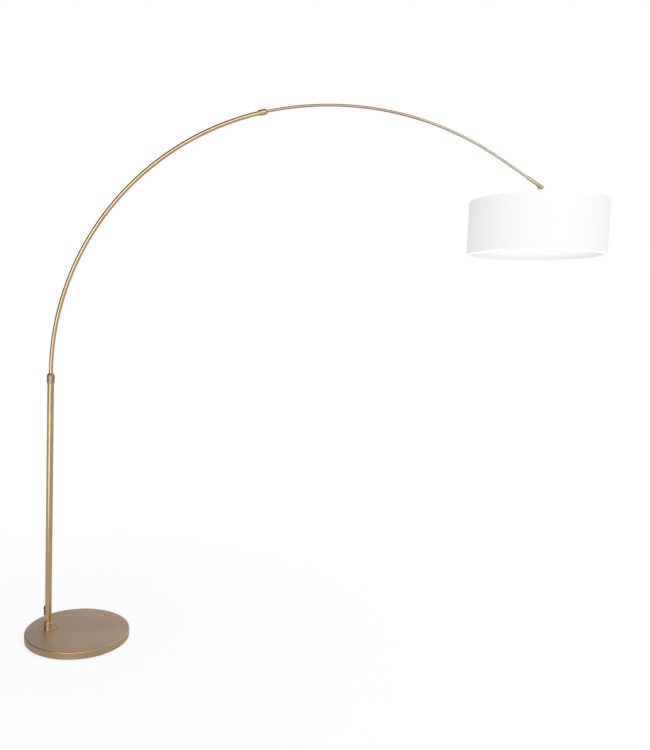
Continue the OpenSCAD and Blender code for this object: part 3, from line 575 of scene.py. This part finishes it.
for slot_name, values in PLAIN.items():
    FINISH[slot_name] = plain_finish(*values)
print("finishes", len(FINISH))

# %% [markdown]
# ## Turned pieces
# Collars, ferrules and rings are turned on a lathe. Spin could sweep a section round an
# axis, but it needs the section as a loose line first. It is simpler to start from a circle
# and to extrude it ring by ring along a half section. Where the section closes on itself
# the two ends are merged, and the normals are made to point outwards again.

# %% Piece helpers


def pick(piece):
    """Selects one piece and makes it the active one."""
    deselect()
    piece.select_set(True)
    bpy.context.view_layer.objects.active = piece


def place_is_applied(piece):
    """Puts the piece's place and turn into its mesh."""
    pick(piece)
    bpy.ops.object.transform_apply(location=True, rotation=True, scale=True)


def shade_by_angle(piece, angle):
    """Shades the piece smooth, except across edges sharper than the angle."""
    pick(piece)
    bpy.ops.object.shade_smooth_by_angle(angle=math.radians(angle))


def put(piece, spot):
    """Moves a piece to its spot for good."""
    piece.location = spot
    place_is_applied(piece)


def dress(piece, finish, body, slot, *replaced):
    """Gives a finished piece its material, its body and the solids it stands for."""
    piece.data.materials.clear()
    piece.data.materials.append(FINISH[finish])
    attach(piece, body)
    if replaced:
        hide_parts(*replaced)
    print(piece.name, len(piece.data.vertices), "vertices on", body)


# %% Lathe
SAME_POINT = 0.000002


def turned(name, section, segments=96, closed=True, smooth=40):
    """A turned piece about the Z axis from a half section of (radius, height)."""
    deselect()
    radius, height = section[0]
    bpy.ops.mesh.primitive_circle_add(vertices=segments, radius=radius, fill_type="NOTHING",
                                      location=(0, 0, height))
    piece = bpy.context.object
    piece.name = piece.data.name = name
    place_is_applied(piece)
    bpy.ops.object.mode_set(mode="EDIT")
    bpy.ops.mesh.select_mode(type="VERT")
    bpy.ops.mesh.select_all(action="SELECT")
    for new_radius, new_height in section[1:]:
        bpy.ops.mesh.extrude_edges_move(
            TRANSFORM_OT_translate={"value": (0, 0, new_height - height)})
        scale = new_radius / radius
        bpy.ops.transform.resize(value=(scale, scale, 1), center_override=(0, 0, new_height))
        radius, height = new_radius, new_height
    bpy.ops.mesh.select_all(action="SELECT")
    bpy.ops.mesh.remove_doubles(threshold=SAME_POINT)
    if closed:
        bpy.ops.mesh.normals_make_consistent(inside=False)
    bpy.ops.object.mode_set(mode="OBJECT")
    shade_by_angle(piece, smooth)
    return piece


def arc_points(centre, radius, start, stop, steps):
    """Points of a round corner in a half section, angles in degrees."""
    return [(centre[0] + radius * math.cos(math.radians(start + (stop - start) * i / steps)),
             centre[1] + radius * math.sin(math.radians(start + (stop - start) * i / steps)))
            for i in range(steps + 1)]


# %% Pushing faces
UPRIGHT = 0.1


def push_faces(piece, test, distance):
    """Pushes the faces that pass a test of centre and normal outwards, or inwards where the
    distance is negative. In face mode two chosen faces do not take in the face between
    them, as they would in point mode."""
    pick(piece)
    bpy.ops.object.mode_set(mode="EDIT")
    bpy.ops.mesh.select_all(action="DESELECT")
    bpy.ops.mesh.select_mode(type="FACE")
    mesh = bmesh.from_edit_mesh(piece.data)
    count = 0
    for face in mesh.faces:
        chosen = test(face.calc_center_median(), face.normal)
        face.select_set(chosen)
        count += chosen
    mesh.select_flush_mode()
    bmesh.update_edit_mesh(piece.data)
    bpy.ops.mesh.extrude_region_shrink_fatten(TRANSFORM_OT_shrink_fatten={"value": distance})
    bpy.ops.object.mode_set(mode="OBJECT")
    print(piece.name, "faces pushed", count)


def turn_of(point):
    """The angle of a point about the Z axis."""
    return math.atan2(point.y, point.x)


def upright(normal):
    """Whether a face stands upright."""
    return abs(normal.z) < UPRIGHT


# %% [markdown]
# ## The twist collars
# Each collar has a grip band with straight knurling, a plain skirt and a conical nose. A
# bump in the material would leave the collar's outline smooth. So every other column of
# faces on the band is pushed inwards, which is what a knurling wheel leaves, and the outline
# stays that of the solid collar.

# %% Knurled collar
KNURL_DEEP = 0.00035
CHAMFER = 0.0012
BAND_STARTS = 0.33


def knurled_collar(name, radius, length, nose_radius, nose_length, bore, columns):
    """A twist collar along Z from its lower end at the origin. The bore is its inside half
    section, from the mouth down to the lower end."""
    band_low, band_high = length * BAND_STARTS, length - nose_length - CHAMFER
    chamfer = [(radius - CHAMFER, 0.0), (radius - 0.0004, 0.0005)]
    skirt = [(radius - 0.0002, CHAMFER), (radius - 0.0002, band_low - 0.0012)]
    groove_under = [(radius - 0.0007, band_low - 0.0008), (radius - 0.0007, band_low - 0.0003)]
    band = [(radius, band_low), (radius, band_high)]
    groove_over = [(radius - 0.0006, band_high + 0.0004), (radius - 0.0006, band_high + 0.0009)]
    nose = [(radius - 0.0003, length - nose_length),
            (nose_radius + 0.0004, length - 0.0004), (nose_radius, length)]
    section = [bore[-1], *chamfer, *skirt, *groove_under, *band, *groove_over, *nose, *bore]
    collar = turned(name, section, segments=2 * columns, smooth=30)

    def in_groove(centre, normal):
        outward = normal.x * centre.x + normal.y * centre.y
        column = int((turn_of(centre) % (2 * math.pi)) / (math.pi / columns))
        return (outward > 0 and upright(normal) and column % 2 == 0
                and band_low < centre.z < band_high)

    push_faces(collar, in_groove, -KNURL_DEEP)
    return collar


# %% Height collar
COLLAR_SHARP = 30
height_low, height_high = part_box("height_collar")
pole_x = (height_low.x + height_high.x) / 2
HEIGHT_R, HEIGHT_LENGTH, HEIGHT_COLUMNS = 0.015, 0.038, 60
HEIGHT_NOSE_R, HEIGHT_NOSE = 0.0101, 0.0068
HEIGHT_BORE = [(0.0085, 0.038), (0.0085, 0.0368), (0.01225, 0.0298), (0.01255, 0.0298),
               (0.01255, 0.0)]
height_collar = knurled_collar("height_collar_knurled", HEIGHT_R, HEIGHT_LENGTH,
                               HEIGHT_NOSE_R, HEIGHT_NOSE, HEIGHT_BORE, HEIGHT_COLUMNS)
put(height_collar, (pole_x, 0, height_low.z))
shade_by_angle(height_collar, COLLAR_SHARP)
dress(height_collar, "collar", "height_ring", "brass_trim", "height_collar")

# %% [markdown]
# ## The reach collar
# The second collar joins the two arcs, so it leans with the bend. It could be set by eye,
# but it also has to twist about its own middle. So it takes its place and its direction from
# the joint of the mechanical model, and a little under half of it lies behind that point.

# %% Reach collar
reach_lock = {joint["name"]: joint for joint in frame["joints"]}["reach_lock"]
along = Vector(reach_lock["axis"]).normalized()
REACH_R, REACH_LENGTH, REACH_COLUMNS = 0.011, 0.033, 44
REACH_NOSE_R, REACH_NOSE = 0.0073, 0.0060
REACH_BACK = REACH_LENGTH * 0.45
REACH_BORE = [(0.00575, 0.033), (0.00575, 0.0318), (0.00775, 0.02285), (0.00805, 0.02285),
              (0.00805, 0.01435), (0.0085, 0.01435), (0.0085, 0.0)]
reach_collar = knurled_collar("reach_collar_knurled", REACH_R, REACH_LENGTH,
                              REACH_NOSE_R, REACH_NOSE, REACH_BORE, REACH_COLUMNS)
reach_collar.rotation_mode = "QUATERNION"
reach_collar.rotation_quaternion = along.to_track_quat("Z", "Y")
put(reach_collar, Vector(reach_lock["pos_m"]) - along * REACH_BACK)
shade_by_angle(reach_collar, COLLAR_SHARP)
dress(reach_collar, "arc_tube", "reach_ring", "brass_trim", "reach_collar")

# %% [markdown]
# ## The foot ferrule
# The ferrule hides the joint of pole and base. Its top has a small bead with a groove under
# it, and its foot spreads a little where it meets the base. A torus could stand for the
# bead, but as a part of the turned section it grows out of the metal, as the real one does.

# %% Foot ferrule
foot_low, foot_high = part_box("foot_ferrule")
ferrule_r = (foot_high.x - foot_low.x) / 2
tall = foot_high.z - foot_low.z
WALL, FOOT_SPREAD, BEAD_R = 0.004, 0.0008, 0.0020
bore_r = ferrule_r - WALL
neck_r = ferrule_r - 2 * FOOT_SPREAD
ferrule = turned("foot_ferrule_turned", [
    (bore_r, 0.0), (ferrule_r, 0.0), (ferrule_r, 0.0012), (ferrule_r - FOOT_SPREAD, 0.0022),
    (ferrule_r - FOOT_SPREAD, tall - 0.0058), (neck_r, tall - 0.0052), (neck_r, tall - 0.0044),
    *arc_points((ferrule_r - BEAD_R, tall - BEAD_R), BEAD_R, -60, 100, 10),
    (bore_r, tall), (bore_r, 0.0)], smooth=35)
put(ferrule, (pole_x, 0, foot_low.z))
dress(ferrule, "ferrule", "stand", "brass_trim", "foot_ferrule")

# %% [markdown]
# ## The finish of the base
# The base is a pressed cover with a satin antique finish. Its flat top is painted greyer and its
# upright wall more golden, a painted reflection of what each face sees. Two materials would meet
# in a hard line, so one finish changes with the height over the round shoulder. A narrow groove
# lies round the foot, and it is painted darker there, as painted shade in the groove.

# %% Base finish
base_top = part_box("base_cover")[1].z
GROOVE_R, GROOVE_W = 0.0356, 0.0012
BASE_METALLIC = 0.9
WALL_ENDS, TOP_STARTS = base_top - 0.0028, base_top - 0.0002
# The top and wall tones are painted reflection: the wall is painted more golden and the top greyer, as each face
# reflects the studio.
TOP_DARK, TOP_LIGHT = (0.455, 0.325, 0.222), (0.52, 0.375, 0.262)
WALL_DARK, WALL_LIGHT = (0.43, 0.29, 0.165), (0.52, 0.36, 0.21)
# Painted shade in the groove round the foot: the dark tone and the share of it mixed in.
GROOVE_PAINTED_SHADE, GROOVE_SHADE_SHARE = (0.09, 0.065, 0.045), 0.5
GROOVE_SIDE, GROOVE_FADES = GROOVE_W * 0.5, GROOVE_W * 1.3
BASE_CLOUDS, BASE_STRETCH = 5.0, 2.0
BASE_SMOOTH, BASE_ROUGH = 0.36, 0.46
BASE_GRAINS, BASE_BUMP, BASE_BUMP_DEEP = 1600.0, 0.15, 0.00004


def base_finish():
    """Satin metal. Painted reflection: greyer top, more golden wall; painted shade in the groove."""
    material, tree, shader = new_material("antique_base", BASE_METALLIC)
    measures, place = object_place(tree)
    painted_reflection_top_share = ramp(tree, measures["Z"], WALL_ENDS, TOP_STARTS)
    cloud = use_group(tree, PATINA, Size=BASE_CLOUDS, Contrast=CLOUD_CONTRAST)
    metal = mix_colour(tree, painted_reflection_top_share, two_tones(tree, cloud, WALL_DARK, WALL_LIGHT),
                       two_tones(tree, cloud, TOP_DARK, TOP_LIGHT))
    from_pole = tree.nodes.new("ShaderNodeVectorMath")
    from_pole.operation = "DISTANCE"
    from_pole.inputs[1].default_value = (pole_x, 0.0, base_top)
    tree.links.new(place, from_pole.inputs[0])
    # Painted shade: the colour darkens in a narrow ring over the groove, where shade falls in the recess.
    off_groove = math_node(tree, "ABSOLUTE", math_node(
        tree, "SUBTRACT", from_pole.outputs["Value"], GROOVE_R))
    in_groove = ramp(tree, off_groove, GROOVE_SIDE, GROOVE_FADES, GROOVE_SHADE_SHARE, 0.0)
    tree.links.new(mix_colour(tree, in_groove, metal, GROOVE_PAINTED_SHADE),
                   shader.inputs["Base Color"])
    lines = use_group(tree, BRUSHING, Centre_X=0.0, Centre_Z=STRAIGHT[1],
                      Fineness=TUBE_FINENESS, Stretch=BASE_STRETCH)
    tree.links.new(ramp(tree, lines, LINES_LOW, LINES_HIGH, BASE_SMOOTH, BASE_ROUGH),
                   shader.inputs["Roughness"])
    add_bump(tree, shader, use_group(tree, GRAIN, Scale=BASE_GRAINS), BASE_BUMP,
             BASE_BUMP_DEEP)
    return material


FINISH["base_cover"] = base_finish()
print("base top at", round(base_top, 4), "m")

# %% [markdown]
# ## The base cover
# The real cover is one disc of sheet metal, drawn down over its rim. A box or a plain disc
# would have a sharp rim, and the light would not run round it. So the cover is turned as one
# skin with a round shoulder, and Solidify gives the skin its thickness on the inside. A ring
# of points beside each end of the shoulder keeps the flat top and the straight wall flat in
# the light.

# %% Drawn skin
cover_low, cover_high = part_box("base_cover")
base_r = (cover_high.x - cover_low.x) / 2
SHEET, SHOULDER, BESIDE = 0.0015, 0.004, 0.001
BASE_SHARP = 35


def modifier(piece, kind, name, **settings):
    """Adds a modifier, sets it and applies it."""
    pick(piece)
    added = piece.modifiers.new(name, kind)
    for label, value in settings.items():
        setattr(added, label, value)
    bpy.ops.object.modifier_apply(modifier=added.name)


base_skin = turned("base_cover_drawn", [
    (base_r, cover_low.z), (base_r, base_top - SHOULDER - BESIDE),
    *arc_points((base_r - SHOULDER, base_top - SHOULDER), SHOULDER, 0, 90, 16),
    (base_r - SHOULDER - BESIDE, base_top), (0.0, base_top)], segments=256,
    smooth=BASE_SHARP)
modifier(base_skin, "SOLIDIFY", "sheet", thickness=SHEET, offset=-1.0)
print("base", round(2 * base_r, 3), "m across")

# %% [markdown]
# ## The groove and the holes of the base
# A lathe tool cuts the groove, and a punch makes the hole for the pole's stud and the inlet
# in the wall. Insetting and deleting faces would leave corners that don't follow a circle.
# So each cut is a Boolean with a round cutter, and the cutters are thrown away.

# %% Cuts in the base
GROOVE_DEEP = 0.0005
STUD_HOLE, INLET_HOLE, INLET_Z = 0.0081, 0.00495, 0.0085
PUNCH_SIDES = 48


def cut_with(piece, cutter):
    """Cuts a piece with a closed cutter and throws the cutter away."""
    modifier(piece, "BOOLEAN", "cut", operation="DIFFERENCE", solver="EXACT", object=cutter)
    deselect()
    cutter.select_set(True)
    bpy.ops.object.delete()


def punch(piece, radius, place, rotation=(0, 0, 0)):
    """Punches a round hole through the sheet."""
    deselect()
    bpy.ops.mesh.primitive_cylinder_add(vertices=PUNCH_SIDES, radius=radius,
                                        depth=4 * SHEET, location=place, rotation=rotation)
    cut_with(piece, bpy.context.object)


groove_in = GROOVE_R - GROOVE_W / 2
groove_out = GROOVE_R + GROOVE_W / 2
groove_z = base_top - GROOVE_DEEP
groove_cutter = turned("groove_cutter", [
    (groove_in, groove_z), (groove_out, groove_z), (groove_out, base_top + BESIDE),
    (groove_in, base_top + BESIDE), (groove_in, groove_z)], segments=128)
put(groove_cutter, (pole_x, 0, 0))
cut_with(base_skin, groove_cutter)
punch(base_skin, STUD_HOLE, (pole_x, 0, base_top))
punch(base_skin, INLET_HOLE, (-base_r, 0, INLET_Z), (0, math.pi / 2, 0))
shade_by_angle(base_skin, BASE_SHARP)
dress(base_skin, "base_cover", "stand", "base_cover", "base_cover")

# %% [markdown]
# ## The cloth of the shade
# The shade is covered in a plain white weave. At arm's length the threads show, and from
# further off only the thicker threads among them do. An image texture would repeat and
# blur, so two sine waves make the weave and two stretched noises make the thick threads.
# Both read a map of the cloth in metres, so the threads run true round the drum.

# %% Weave
CLOTH_MAP = "cloth"
THREADS = 1400.0
SLUB_FINE, SLUB_LONG, SLUB_DETAIL = 900.0, 12.0, 2.0


def make_weave():
    """Plain weave from a map in metres: its height and a light and dark thread mask."""
    group, start, end = new_group("plain_weave", [("Threads per metre", THREADS)],
                                  ["Height", "Slub"])
    chart = group.nodes.new("ShaderNodeUVMap")
    chart.uv_map = CLOTH_MAP
    split = group.nodes.new("ShaderNodeSeparateXYZ")
    group.links.new(chart.outputs[0], split.inputs[0])
    count = math_node(group, "MULTIPLY", start.outputs["Threads per metre"], math.pi)
    warp = math_node(group, "MULTIPLY", split.outputs["X"], count)
    weft = math_node(group, "MULTIPLY", split.outputs["Y"], count)
    over = math_node(group, "MULTIPLY", math_node(group, "SINE", warp),
                     math_node(group, "SINE", weft))
    group.links.new(math_node(group, "ADD", math_node(group, "MULTIPLY", over, 0.5), 0.5),
                    end.inputs["Height"])
    slubs = []
    for across, lengthwise in ((SLUB_FINE, SLUB_LONG), (SLUB_LONG, SLUB_FINE)):
        join = group.nodes.new("ShaderNodeCombineXYZ")
        for axis, scale in (("X", across), ("Y", lengthwise)):
            group.links.new(math_node(group, "MULTIPLY", split.outputs[axis], scale),
                            join.inputs[axis])
        slubs.append(noise_in(group, join.outputs[0], SLUB_DETAIL).outputs["Fac"])
    mean = math_node(group, "MULTIPLY", math_node(group, "ADD", *slubs), 0.5)
    group.links.new(mean, end.inputs["Slub"])
    return group


# %% Cloth finish
SLUB_LOW, SLUB_HIGH = 0.35, 0.65
CLOTH_LIGHT, CLOTH_DARK = (0.90, 0.90, 0.90), (0.87, 0.87, 0.87)
CLOTH_ROUGHNESS, CLOTH_SHEEN = 0.85, 0.15
THREAD_BUMP, THREAD_DEEP = 0.5, 0.00006


def woven_cloth():
    """Cloth with a plain weave and uneven threads."""
    material, tree, shader = new_material("white_shade_cloth")
    weave = tree.nodes.new("ShaderNodeGroup")
    weave.node_tree = make_weave()
    weave.inputs["Threads per metre"].default_value = THREADS
    colour = mix_colour(tree, ramp(tree, weave.outputs["Slub"], SLUB_LOW, SLUB_HIGH),
                        CLOTH_DARK, CLOTH_LIGHT)
    tree.links.new(colour, shader.inputs["Base Color"])
    shader.inputs["Roughness"].default_value = CLOTH_ROUGHNESS
    shader.inputs["Sheen Weight"].default_value = CLOTH_SHEEN
    add_bump(tree, shader, weave.outputs["Height"], THREAD_BUMP, THREAD_DEEP)
    return material


FINISH["shade_fabric"] = woven_cloth()
print("weave of", round(THREADS / 1000, 1), "threads a millimetre")

# %% [markdown]
# ## The shade's cover
# The drum shade is fabric laminated on a stiff lining and turned in over two wire rings. It
# could be a plain tube, but then its rims would look like cut paper. So the cover is drawn
# as one strip: down inside the top ring, over it, down the outside, round the bottom ring
# and up again.

# %% Strip of the cover
shade_low, shade_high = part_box("shade_fabric")
shade_x = (shade_low.x + shade_high.x) / 2
shade_r = (shade_high.x - shade_low.x) / 2
shade_h = shade_high.z - shade_low.z
CLOTH = 0.0007
PROUD = 0.0004
WIRE_ROLL = 0.00275
HEM, HEM_EDGE = 0.010, 0.002
DRUM_SEGMENTS, WALL_STEPS, ROLL_STEPS = 192, 12, 10
outer_r = shade_r - PROUD
roll_r = outer_r - WIRE_ROLL
inner_r = roll_r - WIRE_ROLL
roll_z = WIRE_ROLL + CLOTH / 2
wall_h = shade_h - 2 * roll_z
strip = [(inner_r, shade_h - HEM), (inner_r, shade_h - HEM + HEM_EDGE),
         *arc_points((roll_r, shade_h - roll_z), WIRE_ROLL, 180, 0, ROLL_STEPS),
         *[(outer_r, roll_z + wall_h * k / WALL_STEPS) for k in range(WALL_STEPS - 1, 0, -1)],
         *arc_points((roll_r, roll_z), WIRE_ROLL, 0, -180, ROLL_STEPS),
         (inner_r, HEM - HEM_EDGE), (inner_r, HEM)]
cover = turned("shade_cover", strip, DRUM_SEGMENTS, closed=False, smooth=60)

# %% [markdown]
# ## The map of the cloth
# A weave has to lie on the cloth as it was cut, so each corner of a face gets its place on
# the flat strip in metres. Unwrapping would choose its own size and turn. Here the first
# measure is the way round the drum, and the second is the way along the section.

# %% Map of the strip
FIGURES = 5


def map_strip(piece, section, radius):
    """A map in metres: along the drum's girth and along the section."""
    layer = piece.data.uv_layers.new(name=CLOTH_MAP)
    runs = {}
    run = 0.0
    for spot, following in zip(section, section[1:] + section[-1:]):
        runs[tuple(round(v, FIGURES) for v in spot)] = run
        run += math.dist(spot, following)
    for face in piece.data.polygons:
        middle = turn_of(face.center)
        for corner in face.loop_indices:
            point = piece.data.vertices[piece.data.loops[corner].vertex_index].co
            angle = turn_of(point)
            angle -= 2 * math.pi * round((angle - middle) / (2 * math.pi))
            key = (round(math.hypot(point.x, point.y), FIGURES), round(point.z, FIGURES))
            nearest = key if key in runs else min(runs, key=lambda s: math.dist(s, key))
            layer.data[corner].uv = (angle * radius, runs[nearest])


map_strip(cover, strip, outer_r)
print("mapped", len(cover.data.polygons), "faces")

# %% [markdown]
# ## The seam and the thickness
# The strip's two ends overlap in an upright seam at the back, where the cloth lies double.
# A painted line would not catch the light. So two columns of faces are pushed out by a bit
# less than the cloth's thickness, and then Solidify gives the whole strip that thickness.

# %% Seam and thickness
SEAM_TURN = math.radians(100)
SEAM_HALF = math.radians(1.875)
SEAM_PROUD = 0.00045


def at_seam(centre):
    """Whether a face lies in the seam's column."""
    return abs(turn_of(centre) - SEAM_TURN) < SEAM_HALF


def in_seam(centre, normal):
    return at_seam(centre) and math.hypot(centre.x, centre.y) > roll_r


push_faces(cover, in_seam, SEAM_PROUD)
modifier(cover, "SOLIDIFY", "cloth", thickness=CLOTH, offset=0.0)
put(cover, (shade_x, 0, shade_low.z))
shade_by_angle(cover, angle=50)
dress(cover, "shade_fabric", "head", "shade_fabric", "shade_fabric")

# %% [markdown]
# ## The lining
# The lining is a stiff white sheet that keeps the drum round, and it is what one sees from
# below. It could be the cover's own inside, but then the weave would show there. So it is a
# thin tube of its own, a little shorter than the cover, with its lap pushed inwards where
# the cover has its seam.

# %% Lining
LINING, LINING_GAP, LINING_SHORT = 0.0005, 0.0006, 0.007
lining_r = outer_r - LINING_GAP - LINING / 2
lining_in, lining_out = lining_r - LINING / 2, lining_r + LINING / 2
lining = turned("shade_lining", [
    (lining_in, 0.0), (lining_out, 0.0), (lining_out, shade_h - LINING_SHORT),
    (lining_in, shade_h - LINING_SHORT), (lining_in, 0.0)], DRUM_SEGMENTS, smooth=50)


def in_lap(centre, normal):
    inward = normal.x * centre.x + normal.y * centre.y < 0
    return at_seam(centre) and inward and upright(normal)


push_faces(lining, in_lap, LINING)
put(lining, (shade_x, 0, shade_low.z + LINING_SHORT / 2))
shade_by_angle(lining, angle=40)
dress(lining, "liner", "head", "liner", "shade_liner")

# %% [markdown]
# ## The lampholder
# The lower half of the lampholder has a coarse thread for the shade ring, which can be seen
# from under the shade. A true helix would need Screw and a hidden end at each side. At this
# size the thread reads as round ridges, so they are a part of the turned section.

# %% Threaded lampholder
holder_low, holder_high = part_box("lampholder")
holder_h = holder_high.z - holder_low.z
SKIRT_R, BODY_R, RIM_R, SHELL_R, CAP_R, NECK_R = 0.01975, 0.021, 0.0225, 0.0147, 0.017, 0.012
SKIRT_L = 0.027
EDGE = 0.0005
RIDGES, RIDGE_DEEP, FIRST_RIDGE = 8, 0.0009, 0.0015
root_r = SKIRT_R - RIDGE_DEEP
pitch = (SKIRT_L - 2 * FIRST_RIDGE) / RIDGES
thread = []
for ridge in range(RIDGES):
    foot = FIRST_RIDGE + ridge * pitch
    thread += [(root_r, foot), (SKIRT_R, foot + pitch * 0.3),
               (SKIRT_R, foot + pitch * 0.55), (root_r, foot + pitch * 0.85)]
rim = [(RIM_R - EDGE, SKIRT_L), (RIM_R, SKIRT_L + EDGE), (RIM_R, SKIRT_L + 0.002),
       (RIM_R - EDGE, SKIRT_L + 0.0025)]
body = [(BODY_R, SKIRT_L + 0.003), (BODY_R, holder_h - 0.0006), (BODY_R - 0.0006, holder_h)]
inside = [(CAP_R, holder_h), (CAP_R, SKIRT_L + 0.007), (NECK_R, SKIRT_L + 0.007),
          (NECK_R, SKIRT_L + 0.005), (SHELL_R, SKIRT_L + 0.005), (SHELL_R, 0.0)]
holder = turned("lampholder_threaded", [
    (SHELL_R, 0.0), (root_r, 0.0), *thread, (SKIRT_R - 0.0004, SKIRT_L), *rim, *body,
    *inside], smooth=35)
put(holder, (shade_x, 0, holder_low.z))
dress(holder, "holder_black", "head", "holder_black", "lampholder")

# %% [markdown]
# ## The shade ring
# The ring screws onto that thread and clamps the shade, and ribs on its wall give the
# fingers a hold. Ribs could be small boxes round a plain ring, but moulded ribs grow out of
# the wall. So every third column of faces is pushed outwards.

# %% Ribbed ring
ring_low, ring_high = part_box("shade_ring")
RING_R = (ring_high.x - ring_low.x) / 2
RING_H = ring_high.z - ring_low.z
RIBS, RIB_PROUD, RIB_ZONE = 36, 0.0005, 0.0012
RING_BORE, RING_WALL = SKIRT_R + 0.0001, RING_R - 0.0006
RIB_LOW, RIB_HIGH = 0.0012, RING_H - 0.0020
shade_ring = turned("shade_ring_ribbed", [
    (RING_BORE, 0.0), (RING_R - 0.0020, 0.0), (RING_WALL, RIB_LOW), (RING_WALL, RIB_HIGH),
    (RING_R, RING_H - 0.0016), (RING_R, RING_H - 0.0004), (RING_WALL, RING_H),
    (RING_BORE, RING_H), (RING_BORE, 0.0)], segments=3 * RIBS, smooth=30)


def in_rib(centre, normal):
    column = int((turn_of(centre) % (2 * math.pi)) / (2 * math.pi / 3 / RIBS))
    return (column % 3 == 0 and upright(normal) and RIB_LOW < centre.z < RIB_HIGH
            and math.hypot(centre.x, centre.y) > RING_R - RIB_ZONE)


push_faces(shade_ring, in_rib, RIB_PROUD)
put(shade_ring, (shade_x, 0, ring_low.z))
shade_by_angle(shade_ring, angle=30)
dress(shade_ring, "holder_black", "head", "holder_black", "shade_ring")

# %% [markdown]
# ## Finishing the solids
# Every solid that stays has the right shape already, so it isn't modelled again. It gets the
# finish of its material slot. The two arc tubes and the fittings at the arc's end get their
# own, because their brushing follows two different bends.

# %% Finishes on the solids
OWN_FINISH = {"lower_arc_tube": "arc_tube", "upper_arc_tube": "upper_tube",
              "end_sleeve": "sleeve", "knuckle_screw": "sleeve", "knuckle_nut": "sleeve"}
subparts = frame["record"]["subparts"]
for subpart in subparts:
    finish = FINISH[OWN_FINISH.get(subpart["node"], subpart["material_slot"])]
    for mesh_slot in nodes[subpart["node"]].material_slots:
        mesh_slot.material = finish
print("finished solids", len(subparts))
